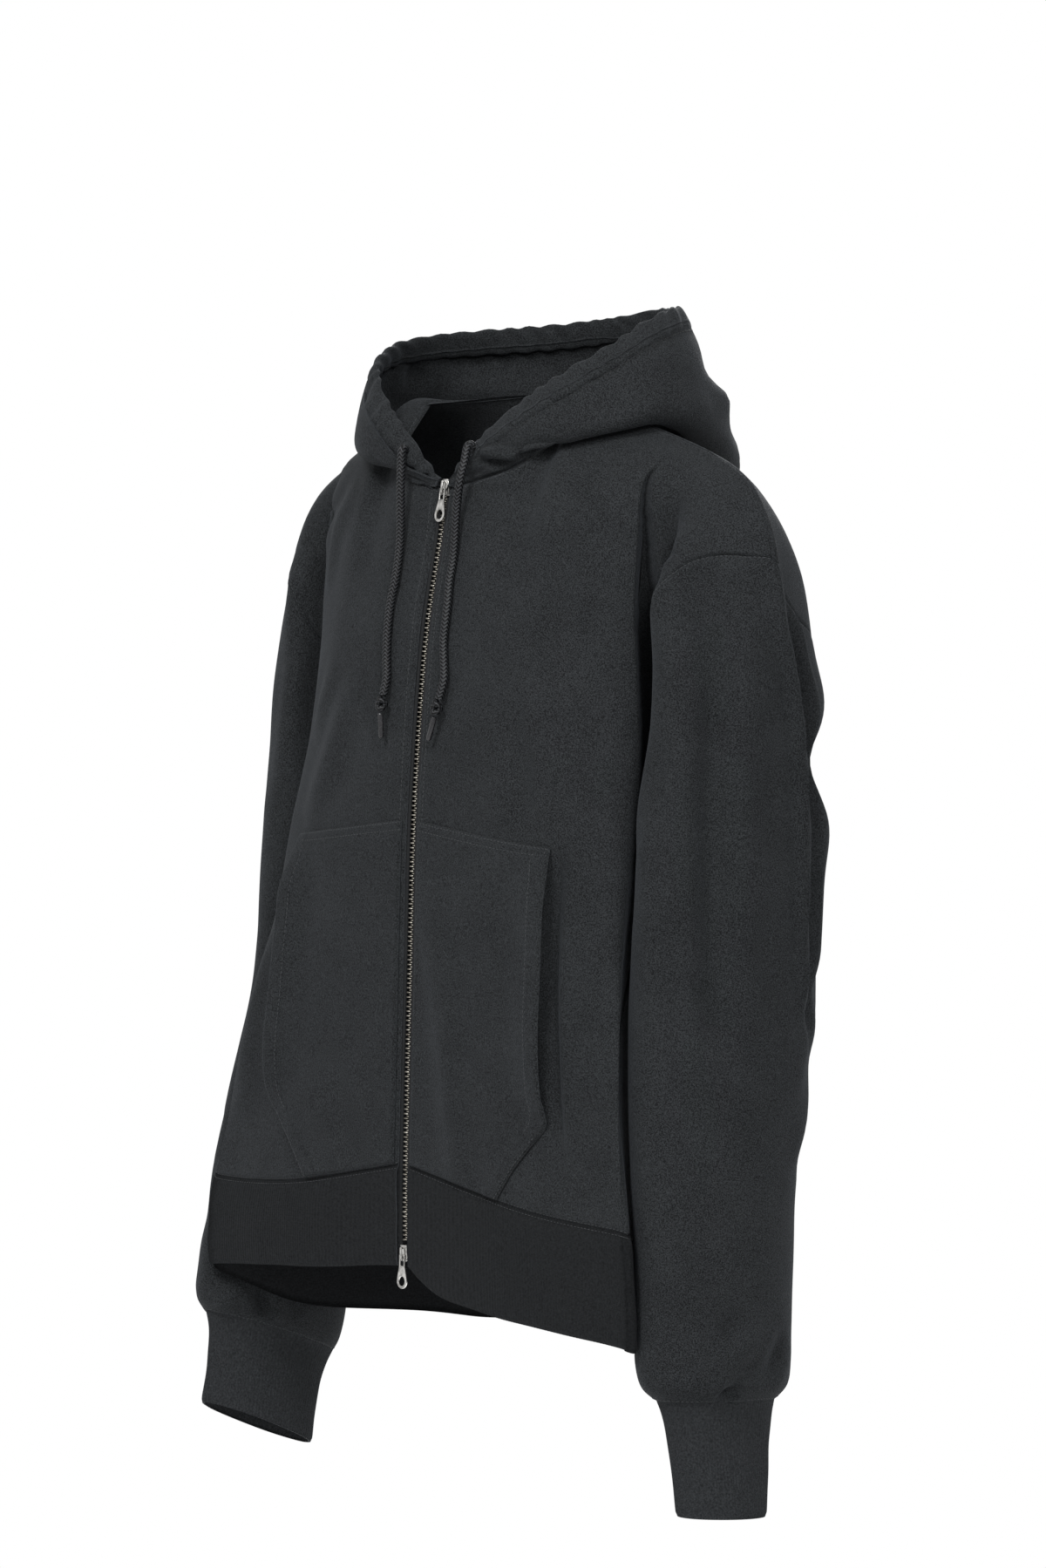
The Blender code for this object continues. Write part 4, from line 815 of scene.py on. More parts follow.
# Back panel. One wide piece of the same fleece. It is sewn to both fronts at the shoulders and sides, to both
# sleeves round the armholes, and to the hood along the neck.
BACK_ROWS, BACK_COLUMNS = 19, 39
BACK_STEP = 0.0050
BACK_FOLDS = (
    # folds that fall from behind each armhole
    (("back",), 0.018, 0.0085,
     ((0.196, 0.094, -0.190), (0.176, 0.104, -0.270), (0.160, 0.098, -0.360), (0.150, 0.088, -0.480))),
    (("back",), 0.014, -0.0080,
     ((0.150, 0.112, -0.230), (0.136, 0.117, -0.310), (0.122, 0.116, -0.420))),
    (("back",), 0.018, 0.0085,
     ((-0.198, 0.094, -0.195), (-0.178, 0.104, -0.280), (-0.164, 0.097, -0.380), (-0.156, 0.084, -0.500))),
    (("back",), 0.014, -0.0074,
     ((-0.148, 0.112, -0.240), (-0.132, 0.117, -0.330), (-0.124, 0.115, -0.430))),
    # cloth that slumps over the waistband
    (("back",), 0.013, 0.0070,
     ((-0.190, 0.086, -0.560), (-0.150, 0.100, -0.585), (-0.090, 0.114, -0.600), (-0.030, 0.121, -0.606))),
    (("back",), 0.012, 0.0065,
     ((0.020, 0.122, -0.596), (0.080, 0.117, -0.604), (0.140, 0.102, -0.590), (0.185, 0.088, -0.570))),
    (("back",), 0.014, -0.0060,
     ((-0.120, 0.106, -0.545), (-0.050, 0.120, -0.570), (0.020, 0.124, -0.565))),
    # long soft drapes down the middle
    (("back",), 0.022, 0.0075,
     ((-0.070, 0.116, -0.180), (-0.058, 0.126, -0.280), (-0.066, 0.130, -0.400), (-0.080, 0.126, -0.500))),
    (("back",), 0.020, -0.0075,
     ((0.030, 0.120, -0.200), (0.036, 0.128, -0.300), (0.024, 0.130, -0.420))),
    # drag between the shoulder blades, and soft folds above the waistband
    (("back",), 0.022, -0.0063,
     ((-0.060, 0.108, -0.090), (0.000, 0.117, -0.112), (0.066, 0.108, -0.092))),
    (("back",), 0.020, 0.0085,
     ((0.060, 0.124, -0.420), (0.072, 0.122, -0.520), (0.070, 0.119, -0.620))),
    (("back",), 0.016, -0.0074,
     ((-0.030, 0.128, -0.460), (-0.046, 0.126, -0.550), (-0.044, 0.121, -0.625))),
    (("back",), 0.018, 0.0074,
     ((-0.110, 0.116, -0.470), (-0.104, 0.113, -0.560), (-0.108, 0.110, -0.625))),
)

cloth = cloth_from("back", CLOTH, BACK_ROWS, BACK_COLUMNS, on_side(SHOULDER_END, -1), (1, 0, 0),
                   edges=all_edges, step=BACK_STEP)
round_shoulder(cloth, "start", -1)
round_shoulder(cloth, "end", 1)
cloths["back"] = cloth_relief(cloth, "back", BACK_FOLDS, all_edges, CLOTH, lapped=all_edges)
sewn_piece("fleece", "back", cloths["back"], fleece)


# Sleeves. Each is one tube of the same fleece with a dropped shoulder. It is sewn into its armhole and
# gathered into its cuff.
SLEEVE_ROWS, SLEEVE_COLUMNS = 17, 20
SLEEVE_STEP = 0.0044
SLEEVE_FOLDS = (
    # broad trough down the front of the left upper arm
    (("sleeve_left",), 0.015, -0.0120,
     ((0.2440, -0.0180, -0.1000), (0.2567, -0.0186, -0.1697), (0.2630, -0.0198, -0.2220),
      (0.2646, -0.0213, -0.2873), (0.2657, -0.0222, -0.3527), (0.2669, -0.0215, -0.4181),
      (0.270, -0.022, -0.490))),
    # a long fold behind it that overlaps the cloth at its back, and a second one that meets it
    (("sleeve_left",), 0.0055, 0.0050,
     ((0.2876, 0.0205, -0.1200), (0.2838, 0.0283, -0.1621), (0.2795, 0.0410, -0.1959),
      (0.2769, 0.0522, -0.2397), (0.2758, 0.0567, -0.2866), (0.2752, 0.0582, -0.3552),
      (0.2733, 0.0598, -0.4280), (0.272, 0.060, -0.500))),
    (("sleeve_left",), 0.0060, -0.0070,
     ((0.2860, 0.0310, -0.1200), (0.2810, 0.0400, -0.1623), (0.2772, 0.0530, -0.1962),
      (0.2750, 0.0640, -0.2400), (0.2720, 0.0700, -0.2870), (0.2715, 0.0705, -0.3557),
      (0.2700, 0.0720, -0.4285), (0.270, 0.072, -0.500))),
    (("sleeve_left",), 0.0050, 0.0045,
     ((0.2790, 0.0440, -0.1500), (0.2740, 0.0600, -0.2001), (0.2720, 0.0720, -0.2399),
      (0.2700, 0.0790, -0.2680))),
    # the pinch behind each elbow
    (("sleeve_left",), 0.0280, -0.0130,
     ((0.2750, 0.0600, -0.2700), (0.2700, 0.0780, -0.2712), (0.2600, 0.0920, -0.2742),
      (0.2400, 0.1000, -0.2760), (0.2200, 0.1020, -0.2780))),
    (("sleeve_right",), 0.0260, -0.0110,
     ((-0.2760, 0.0560, -0.3060), (-0.2700, 0.0780, -0.3100), (-0.2600, 0.0920, -0.3120),
      (-0.2400, 0.1000, -0.3140), (-0.2200, 0.1020, -0.3160))),
    # a line down the inner front, and the dimple by the shoulder
    (("sleeve_left",), 0.009, -0.0036,
     ((0.236, -0.048, -0.288), (0.249, -0.051, -0.418), (0.270, -0.060, -0.547))),
    (("sleeve_left",), 0.007, -0.0036,
     ((0.262, -0.012, -0.128), (0.270, -0.004, -0.140), (0.278, 0.008, -0.150))),
    # tucks where it is gathered into the cuff
    (("sleeve_left",), 0.0065, -0.0080,
     ((0.303, -0.029, -0.7360), (0.300, -0.039, -0.7440), (0.293, -0.044, -0.7530))),
    (("sleeve_left",), 0.010, 0.0045,
     ((0.303, -0.010, -0.690), (0.306, -0.030, -0.712), (0.300, -0.055, -0.728))),
    (("sleeve_left",), 0.009, -0.0045,
     ((0.300, 0.020, -0.700), (0.302, 0.005, -0.722), (0.300, -0.010, -0.738))),
    (("sleeve_left",), 0.012, 0.0051,
     ((0.270, -0.082, -0.640), (0.290, -0.066, -0.668), (0.303, -0.040, -0.690))),
    # the right sleeve: its cap, its front and the crumple above its cuff
    (("sleeve_right",), 0.010, 0.0039,
     ((-0.213, -0.038, -0.165), (-0.218, -0.043, -0.234), (-0.224, -0.048, -0.320))),
    (("sleeve_right",), 0.010, -0.0045,
     ((-0.268, -0.070, -0.560), (-0.290, -0.060, -0.610), (-0.300, -0.040, -0.650))),
    (("sleeve_right",), 0.011, 0.0054,
     ((-0.240, -0.082, -0.620), (-0.262, -0.080, -0.655), (-0.290, -0.060, -0.690))),
    (("sleeve_right",), 0.008, -0.0051,
     ((-0.236, -0.080, -0.672), (-0.256, -0.080, -0.694), (-0.280, -0.068, -0.712))),
    (("sleeve_right",), 0.008, 0.0051,
     ((-0.240, -0.079, -0.704), (-0.262, -0.077, -0.720), (-0.286, -0.062, -0.730))),
    (("sleeve_right",), 0.007, -0.0085,
     ((-0.2345, -0.0635, -0.690), (-0.2345, -0.0600, -0.7164), (-0.2400, -0.0560, -0.7350))),
    (("sleeve_right",), 0.008, 0.0060,
     ((-0.2200, -0.0500, -0.700), (-0.2210, -0.0480, -0.7200), (-0.2260, -0.0450, -0.7350))),
    # the same kind of folds behind each elbow
    (("sleeve_right",), 0.009, 0.0051,
     ((-0.286, 0.018, -0.117), (-0.282, 0.045, -0.200), (-0.278, 0.062, -0.300), (-0.274, 0.064, -0.420))),
    (("sleeve_left",), 0.012, -0.0045,
     ((0.250, 0.092, -0.420), (0.268, 0.078, -0.455), (0.276, 0.050, -0.475))),
    (("sleeve_right",), 0.012, -0.0045,
     ((-0.248, 0.093, -0.430), (-0.268, 0.078, -0.462), (-0.277, 0.050, -0.486))),
    (("sleeve_left",), 0.012, 0.0042,
     ((0.246, 0.078, -0.500), (0.268, 0.066, -0.540), (0.284, 0.040, -0.570))),
    (("sleeve_right",), 0.012, 0.0042,
     ((-0.246, 0.078, -0.510), (-0.270, 0.066, -0.548), (-0.288, 0.040, -0.580))),
)

for side, sign in (("left", 1), ("right", -1)):
    node = "sleeve_" + side
    cloth = cloth_from(node, CLOTH, SLEEVE_ROWS, SLEEVE_COLUMNS, on_side(SHOULDER_END, sign), (0, -1, 0),
                       ring=True, edges=("top", "bottom"), step=SLEEVE_STEP)
    round_shoulder(cloth, "top", sign)
    cloths[node] = cloth_relief(cloth, node, SLEEVE_FOLDS, ("top", "bottom"), CLOTH, lapped=("top",),
                                shallow=("bottom",))
    sewn_piece("fleece", node, cloths[node], fleece)


# Cuffs. Deep tubes of two-by-two rib knit, folded double at the wrist. Each is stretched on to its sleeve's
# end and sewn there.
RIB_CLOTH = 0.0028
RIB_PITCH = 0.0026
RIB_HEIGHT = 0.00038
RIB_UNEVEN, RIB_UNEVEN_SIZE = 0.25, 0.02
RIB_SAMPLES = 4
RIB_WAVE, RIB_WAVE_SIZE = 0.0009, 0.035
FOLDED_EDGE, FOLDED_EDGE_WIDTH = 0.0012, 0.0022
CUFF_ROWS, CUFF_COLUMNS = 4, 20
CUFF_FINE_ROWS = 26
CUFF_ROUND = 0.27
CUFF_GRIP, CUFF_GRIP_PLACE = 0.0032, 0.55
CUFF_LAP = 0.003


def rib_relief(cloth, rows, columns, sink):
    """Raised ribs down the cloth, a little uneven, which sink at the seam and round over at the fold."""
    top, hem = cloth.edge_distance(("top",)), cloth.edge_distance(("bottom",))
    cloth.raise_by(RIB_WAVE * soft_noise(cloth.points, RIB_WAVE_SIZE, (1.0, 1.0, 0.7), 3.1))
    cloth.measure()
    cloth.line_inside(RIB_CLOTH)
    wave = np.cos(2 * np.pi * np.arange(columns) / RIB_SAMPLES)
    heights = np.tile(RIB_HEIGHT * (0.5 * wave - 0.5), (rows, 1))
    heights *= 1.0 + RIB_UNEVEN * soft_noise(cloth.points, RIB_UNEVEN_SIZE)
    heights -= sink * np.exp(-((top / SEAM_ROUND) ** 2))
    heights -= FOLDED_EDGE * np.exp(-((hem / FOLDED_EDGE_WIDTH) ** 2))
    cloth.raise_by(heights)
    cloth.measure()
    return cloth


def rib_finish(name, dark, pale):
    """Charcoal rib knit with fine courses, whose nap varies between two greys. Its copies' greys are painted
    lighter or darker for the light that falls on them.
    """
    finish = Finish(name)
    nap = finish.speckle(700.0, 3.0)
    finish.tones(nap, (dark, dark * 1.09, dark * 1.19), (pale, pale * 1.08, pale * 1.17), 0.30, 0.72)
    finish.relief(finish.threads("Y", 0.0011, 0.8).outputs["Fac"], 0.30, 0.00025)
    finish.relief(nap, 0.35, 0.0003)
    return finish.surface({"Roughness": 0.94, **KNIT_SURFACE})


# The cuffs' copy of the rib is painted lighter, as lit; the waistband's copy is painted darker, as shaded.
cuff_rib_painted_lit = rib_finish("charcoal rib painted lit for the cuffs", 0.0055, 0.0165)
for side, sign in (("left", 1), ("right", -1)):
    node = "cuff_" + side
    low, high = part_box(node)
    outer = max(sign * low.x, sign * high.x) * sign
    columns = RIB_SAMPLES * round(CUFF_ROUND / RIB_PITCH)
    cloth = cloth_from(node, RIB_CLOTH, CUFF_ROWS, CUFF_COLUMNS, (outer, -0.020, high.z), (0, -1, 0),
                       ring=True, counts=(CUFF_FINE_ROWS, columns))
    share = np.linspace(0.0, 1.0, CUFF_FINE_ROWS)[:, None]
    cloth.raise_by(-CUFF_GRIP * np.sin(np.pi * share**CUFF_GRIP_PLACE) * np.ones((1, columns)))
    cloth.lap(("top",), CUFF_LAP)
    cloth.measure()
    cloths[node] = rib_relief(cloth, CUFF_FINE_ROWS, columns, SHALLOW_SINK)
    sewn_piece("rib", node, cloths[node], cuff_rib_painted_lit)


# Waistband. The same rib knit, folded double along the hem, in one length from one side of the zip right round
# to the other. Its top is sewn to the fronts and the back.
WAISTBAND_ROWS, WAISTBAND_COLUMNS = 4, 77
WAISTBAND_FINE_ROWS = 18
WAISTBAND_CORNER = (0.0065, -0.107, -0.588)
WAISTBAND_RIBS = 400
WAISTBAND_LAP = 0.0026
BEND_ROUND = 11


def rounded_bends(points):
    """Points with the sharp bends along their rows smoothed out; the ends stay where they are."""
    for _ in range(2):
        before = 2 * points[:, :1] - points[:, BEND_ROUND:0:-1]
        after = 2 * points[:, -1:] - points[:, -2 : -BEND_ROUND - 2 : -1]
        padded = np.concatenate([before, points, after], axis=1)
        total = np.cumsum(np.concatenate([np.zeros_like(padded[:, :1]), padded], axis=1), axis=1)
        points = (total[:, 2 * BEND_ROUND + 1 :] - total[:, : -2 * BEND_ROUND - 1]) / (2 * BEND_ROUND + 1)
    return points


columns = WAISTBAND_RIBS * RIB_SAMPLES + 1
cloth = cloth_from("waistband", RIB_CLOTH, WAISTBAND_ROWS, WAISTBAND_COLUMNS, WAISTBAND_CORNER, (1, 0, 0),
                   counts=(WAISTBAND_FINE_ROWS, columns))
cloth.points = rounded_bends(cloth.points)
cloth.lap(("top",), WAISTBAND_LAP)
cloth.measure()
cloths["waistband"] = rib_relief(cloth, WAISTBAND_FINE_ROWS, columns, SEAM_SINK)
# The waistband's copy of the same rib, painted about half as bright, as shade.
waistband_rib_painted_shaded = rib_finish("charcoal rib painted shaded for the waistband", 0.0028, 0.0085)
sewn_piece("rib", "waistband", cloths["waistband"], waistband_rib_painted_shaded)


# Pocket halves. Patches of fleece laid on the fronts, sewn along the top, the zip and the slanting lower edge.
# The long side is open for the hand: its hem is turned under and it stands a little off the front.
POCKET_CLOTH = 0.0020
POCKET_ROWS, POCKET_COLUMNS = 13, 9
POCKET_STEP = 0.0032
POCKET_CORNER = (0.0095, -0.104, -0.3215)
POCKET_MOUTH_SHARE = 0.80
POCKET_GAPE, POCKET_GAPE_WIDTH, POCKET_GAPE_END = 0.0022, 0.030, 0.10
HEM_WIDTH = 0.017
HEM_STEP, HEM_STEP_WIDTH = 0.0007, 0.002

for side, sign in (("left", 1), ("right", -1)):
    node = "pocket_" + side
    cloth = cloth_from(node, POCKET_CLOTH, POCKET_ROWS, POCKET_COLUMNS, on_side(POCKET_CORNER, sign),
                       (sign, 0, 0), edges=all_edges, step=POCKET_STEP)
    apart = cloth.edge_distance(("end",))
    hem = eased((HEM_WIDTH - apart) / HEM_STEP_WIDTH)
    along = np.linspace(0.0, 1.0, len(cloth.points))[:, None]
    gape = eased(along / POCKET_GAPE_END) * eased((POCKET_MOUTH_SHARE - along) / POCKET_GAPE_END)
    gape = gape * eased(1.0 - apart / POCKET_GAPE_WIDTH)
    cloth.raise_by(HEM_STEP * hem + POCKET_GAPE * gape)
    cloth.measure()
    cloths[node] = cloth_relief(cloth, node, BODY_FOLDS, all_edges, POCKET_CLOTH)
    sewn_piece("fleece", node, cloths[node], fleece)


# Hood. Two halves of the same fleece, joined down the middle and sewn round the neck. It has fallen back, so
# that its slack lies behind the neck and on the shoulders.
HOOD_ROWS, HOOD_COLUMNS = 13, 17
HOOD_STEP = 0.0042
HOOD_CORNER = (0.0, 0.078, 0.005)
HOOD_TUCK = 0.0036
HOOD_SLACK = 2.2
SETTLE_MOST = 0.018
SETTLE_CLEAR = 0.003
SETTLE_LIFT = 0.02
SETTLE_EVEN = 9
HOOD_FOLDS = (
    # pinch folds at the near throat
    (("hood_left",), 0.0045, -0.0075,
     ((0.046, -0.0700, -0.0450), (0.0522, -0.0674, -0.0461), (0.0616, -0.0630, -0.0474),
      (0.0740, -0.052, -0.0490))),
    (("hood_left",), 0.0045, 0.0052,
     ((0.044, -0.0690, -0.0380), (0.056, -0.0680, -0.0390), (0.0680, -0.0620, -0.0400),
      (0.0780, -0.055, -0.0410))),
    # a long crease under the roll on each side
    (("hood_left",), 0.010, -0.0051,
     ((0.062, -0.068, -0.040), (0.098, -0.050, -0.034), (0.130, -0.010, -0.026), (0.150, 0.030, -0.020))),
    (("hood_right",), 0.010, -0.0051,
     ((-0.070, -0.072, -0.040), (-0.104, -0.056, -0.036), (-0.134, -0.014, -0.026), (-0.152, 0.030, -0.018))),
    # slack inside the far side of the hood
    (("hood_right",), 0.009, -0.0070,
     ((-0.176, 0.030, 0.036), (-0.160, 0.036, 0.020), (-0.142, 0.038, 0.004))),
    (("hood_right",), 0.008, 0.0060,
     ((-0.150, -0.010, 0.040), (-0.142, 0.000, 0.022), (-0.130, 0.004, 0.004))),
    # slack behind the neck
    (("hood_left", "hood_right"), 0.016, 0.0086,
     ((-0.070, 0.160, -0.060), (0.000, 0.184, -0.085), (0.070, 0.160, -0.058))),
    (("hood_left", "hood_right"), 0.014, -0.0082,
     ((-0.090, 0.160, -0.020), (0.000, 0.186, -0.035), (0.084, 0.162, -0.018))),
    (("hood_left",), 0.014, 0.0082,
     ((0.150, 0.070, 0.000), (0.128, 0.110, 0.002), (0.090, 0.142, 0.004))),
    (("hood_right",), 0.014, 0.0082,
     ((-0.152, 0.066, 0.004), (-0.130, 0.108, 0.006), (-0.092, 0.142, 0.004))),
)


def settle(cloth, below):
    """Lets the hood's low roll down on to the shoulder beneath it. Its rim and neck seam stay in place."""
    rows, columns = cloth.points.shape[:2]
    clear = np.full((rows, columns), SETTLE_MOST)
    for row, column in np.ndindex(rows, columns):
        above = Vector(cloth.points[row, column]) + Vector((0.0, 0.0, SETTLE_LIFT))
        hits = [tree.ray_cast(above, Vector((0.0, 0.0, -1.0)))[0] for tree in below]
        heights = [above.z - SETTLE_LIFT - hit.z for hit in hits if hit is not None]
        clear[row, column] = min([SETTLE_MOST, *heights])
    drop = np.clip(clear[rows // 3 : rows * 2 // 3].min(axis=0) - SETTLE_CLEAR, 0.0, SETTLE_MOST)
    window = np.ones(SETTLE_EVEN) / SETTLE_EVEN
    drop = np.convolve(np.pad(drop, SETTLE_EVEN // 2, mode="edge"), window, mode="valid")
    # The drop fades out towards the middle of the back, towards the throat, and at both long edges.
    along = np.linspace(0.0, 1.0, columns)
    drop = drop * eased((along - 0.10) / 0.20) * eased((0.66 - along) / 0.12)
    down = np.linspace(0.0, 1.0, rows)[:, None]
    cloth.points[:, :, 2] -= drop * eased(down / 0.35) * eased((1.0 - down) / 0.45)
    cloth.measure()


def surface_tree(cloth):
    """The cloth's outer face, ready to be met by rays."""
    rows, columns = cloth.points.shape[:2]
    faces = wall_faces(rows, columns, cloth.ring)[: (rows - 1) * (columns - 1)]
    return BVHTree.FromPolygons(cloth.points.reshape(-1, 3).tolist(), faces.tolist())


below_hood = [surface_tree(cloths[node]) for node in ("front_left", "front_right", "back")]
for side, sign in (("left", 1), ("right", -1)):
    node = "hood_" + side
    cloth = cloth_from(node, CLOTH, HOOD_ROWS, HOOD_COLUMNS, HOOD_CORNER, (sign, 0, 0),
                       edges=("top", "start"), step=HOOD_STEP)
    cloth.starts_at_middle = True
    settle(cloth, below_hood)
    cloth.points[-1] += HOOD_TUCK * unit(cloth.points[-1] - cloth.points[-2])
    cloth.measure()
    cloths[node] = cloth_relief(cloth, node, HOOD_FOLDS, ("top", "start"), CLOTH, HOOD_SLACK, lapped=("top",))
    sewn_piece("fleece", node, cloths[node], fleece)


# Hood casing. The hood's edge is turned in twice and stitched down, so that it forms a soft roll for the
# drawcord to run in. Pulled up a little, it gathers in small uneven puckers.
CASING_ROWS, CASING_COLUMNS = 33, 10
CASING_STEP = 0.0028
CASING_FINE_COLUMNS = 40
CASING_GAP = 0.02
CASING_END = (0.0065, -0.0660, -0.0610)
CASING_ROUND = 0.05
CASING_WALL = 0.0011
PUCKER_SPACING = 0.0190
PUCKER_DRIFT, PUCKER_DRIFT_SIZE = 0.90, 0.045
PUCKER_SLANT = 1.1
PUCKER_HEIGHT = 0.0011
PUCKER_LEAST, PUCKER_PATCH = 0.45, 0.09


def open_roll(node, rows, columns, end):
    """The sections of a closed roll, from its solid without the caps on its two ends."""
    mesh = bmesh.new()
    mesh.from_mesh(frame["nodes"][node].data)
    bmesh.ops.remove_doubles(mesh, verts=mesh.verts, dist=WELD)
    caps = set()
    for sign in (1, -1):
        place = Vector(on_side(end, sign))
        ring = sorted(mesh.verts, key=lambda corner: (corner.co - place).length)[:columns]
        caps.update(f for f in mesh.faces if all(corner in ring for corner in f.verts))
    bmesh.ops.delete(mesh, geom=list(caps), context="FACES")
    points, triangles, _ = largest_patch(mesh)
    return laid_out(points, triangles, rows, columns, end, (0.0, 0.0, 1.0), ring=True)


def pucker_heights(cloth):
    """Gathers across the roll: slanting waves that come and go along it."""
    along = cloth.down / PUCKER_SPACING
    drift = PUCKER_DRIFT * soft_noise(cloth.points, PUCKER_DRIFT_SIZE, shift=2.0)
    slant = PUCKER_SLANT * cloth.across[:, : along.shape[1]] / CASING_ROUND
    wave = np.sin(2 * np.pi * (along + drift + slant))
    patches = eased(0.5 + 1.4 * soft_noise(cloth.points, PUCKER_PATCH, shift=5.0))
    return PUCKER_HEIGHT * wave * (PUCKER_LEAST + (1.0 - PUCKER_LEAST) * patches)


grid = open_roll("hood_casing", CASING_ROWS, CASING_COLUMNS, CASING_END)
seam_side = int(np.argmin(grid[CASING_ROWS // 2, :, 2]))
grid = np.roll(grid, -seam_side, axis=1)
length = mean_length(grid)
rows = between(wrapped_round(grid), np.linspace(0, CASING_ROWS - 1, int(length / CASING_STEP)))
around = np.linspace(CASING_GAP, CASING_COLUMNS - CASING_GAP, CASING_FINE_COLUMNS + 1) + RING_WRAP
cloth = Cloth(between(rows.transpose(1, 0, 2), around).transpose(1, 0, 2), False, 1.0)
middle = cloth.points.mean(axis=1, keepdims=True)
if ((cloth.points - middle) * cloth.normals).sum() < 0:
    cloth = Cloth(cloth.points, False, -1.0)
cloth.line_inside(CASING_WALL)
cloth.raise_by(pucker_heights(cloth) + RUMPLE * soft_noise(cloth.points, RUMPLE_SIZE, shift=7.3))
cloth.measure()
sewn_piece("fleece", "hood_casing", cloth, fleece)


# Zip tapes. Woven polyester, with a raised selvedge beside the teeth. They are sewn behind the front edges,
# from the neck down to the hem.
TAPE_THICK = 0.0009
TAPE_STEP = 0.0030
TAPE_COLUMNS = 13
TAPE_RIB, TAPE_RIB_PLACE, TAPE_RIB_WIDTH = 0.00022, 0.0008, 0.0006


def along_zip(node):
    """Heights and depths down the middle of a solid that follows the front edge, from its own corners."""
    corners = np.array([vertex.co for vertex in frame["nodes"][node].data.vertices])
    heights = np.unique(np.round(corners[:, 2], 5))[::-1]
    depths = [corners[np.abs(corners[:, 2] - height) < 2e-5][:, 1].mean() for height in heights]
    return heights, np.array(depths)


def tape_finish():
    """Black twill tape: fine slanting threads with a dull shine."""
    finish = Finish("woven zip tape")
    weave = finish.threads("DIAGONAL", 0.0007, 0.6, "Object").outputs["Fac"]
    finish.tones(weave, (0.003, 0.0033, 0.0037), (0.009, 0.0096, 0.0104))
    finish.relief(weave, 0.5, 0.0002)
    return finish.surface({"Roughness": 0.75, "Specular IOR Level": 0.15})


tape_material = tape_finish()
for side, sign in (("left", 1), ("right", -1)):
    node = "zip_tape_" + side
    low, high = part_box(node)
    inner = min(abs(low.x), abs(high.x))
    outer = max(abs(low.x), abs(high.x))
    heights, depths = along_zip(node)
    levels = np.linspace(heights[0], heights[-1], int((heights[0] - heights[-1]) / TAPE_STEP))
    depth_at = np.interp(-levels, -heights, depths)
    across = np.linspace(inner, outer, TAPE_COLUMNS)
    raised = TAPE_RIB * np.exp(-(((across - inner - TAPE_RIB_PLACE) / TAPE_RIB_WIDTH) ** 2))
    points = np.zeros((len(levels), TAPE_COLUMNS, 3))
    points[:, :, 0] = sign * across[None, :]
    points[:, :, 1] = depth_at[:, None] - TAPE_THICK / 2 - raised[None, :]
    points[:, :, 2] = levels[:, None]
    cloth = Cloth(points, False, sign)
    cloth.line_inside(TAPE_THICK)
    dress(cloth_piece("woven_" + node, cloth), tape_material, node)


# Zip teeth. Stamped nickel teeth, clamped on to the edges of both tapes. One side sits half a pitch below the
# other, so that the teeth mesh.
TOOTH_PITCH = 0.0036
TOOTH_LENGTH = 0.0042
TOOTH_HEIGHT = 0.00122
TOOTH_DEPTH = 0.0023
TOOTH_HEAD_DEPTH, TOOTH_HEAD_HEIGHT = 0.62, 0.80
TOOTH_EDGE = 0.00038
TOOTH_REACH = 0.0009
LEAN_SPAN = 0.002


def metal_finish(name, bright, dark, roughness):
    """Plated metal, darker and duller in small patches where it has been handled."""
    finish = Finish(name)
    wear = finish.speckle(260.0, 4.0)
    finish.tones(wear, dark, bright, 0.34, 0.62)
    finish.dulling(wear, roughness + 0.12, roughness - 0.06)
    return finish.surface({"Metallic": 1.0})


def tooth_mesh():
    """One tooth, centred on its tape's edge: a block with rounded edges that narrows to its hooked head."""
    select_only(camera)
    bpy.ops.mesh.primitive_cube_add(size=1.0, location=(0, 0, 0))
    tooth = bpy.context.object
    tooth.scale = (TOOTH_LENGTH, TOOTH_DEPTH, TOOTH_HEIGHT)
    bpy.ops.object.transform_apply(location=False, rotation=False, scale=True)
    for vertex in tooth.data.vertices:
        if vertex.co.x < 0:
            vertex.co.y *= TOOTH_HEAD_DEPTH
            vertex.co.z *= TOOTH_HEAD_HEIGHT
    rounding = tooth.modifiers.new("rounded", "BEVEL")
    rounding.width = TOOTH_EDGE
    rounding.segments = 1
    bpy.ops.object.modifier_apply(modifier=rounding.name)
    data = tooth.data
    points = np.array([vertex.co for vertex in data.vertices])
    faces = [tuple(face.vertices) for face in data.polygons]
    bpy.data.objects.remove(tooth)
    return points, faces


def joined_copies(name, places, points, faces):
    """One mesh of many copies of a small shape, each with its own place and turn."""
    all_points, all_faces = [], []
    for number, place in enumerate(places):
        turned = points @ np.array(place.to_3x3()).T + np.array(place.translation)
        all_points.append(turned)
        all_faces.extend(tuple(corner + number * len(points) for corner in face) for face in faces)
    return mesh_piece(name, np.concatenate(all_points), all_faces)


nickel = metal_finish("antique nickel", (0.42, 0.40, 0.355), (0.17, 0.155, 0.13), 0.36)
chain_heights, chain_depths = along_zip("zip_chain")
tooth_points, tooth_faces = tooth_mesh()
places = []
count = int((chain_heights[0] - chain_heights[-1] - TOOTH_HEIGHT) / TOOTH_PITCH * 2)
for number in range(count):
    sign = 1 if number % 2 else -1
    height = chain_heights[0] - TOOTH_HEIGHT / 2 - number * TOOTH_PITCH / 2
    depth = np.interp(-height, -chain_heights, chain_depths)
    lean = np.interp(-(height - LEAN_SPAN), -chain_heights, chain_depths) - depth
    turn = Matrix.Rotation(math.atan2(lean, LEAN_SPAN), 4, "X")
    if sign < 0:
        turn = turn @ Matrix.Rotation(math.pi, 4, "Z")
    middle = sign * (TOOTH_LENGTH / 2 - TOOTH_REACH)
    places.append(Matrix.Translation((middle, depth, height)) @ turn)
dress(joined_copies("zip_teeth", places, tooth_points, tooth_faces), nickel, "zip_chain")


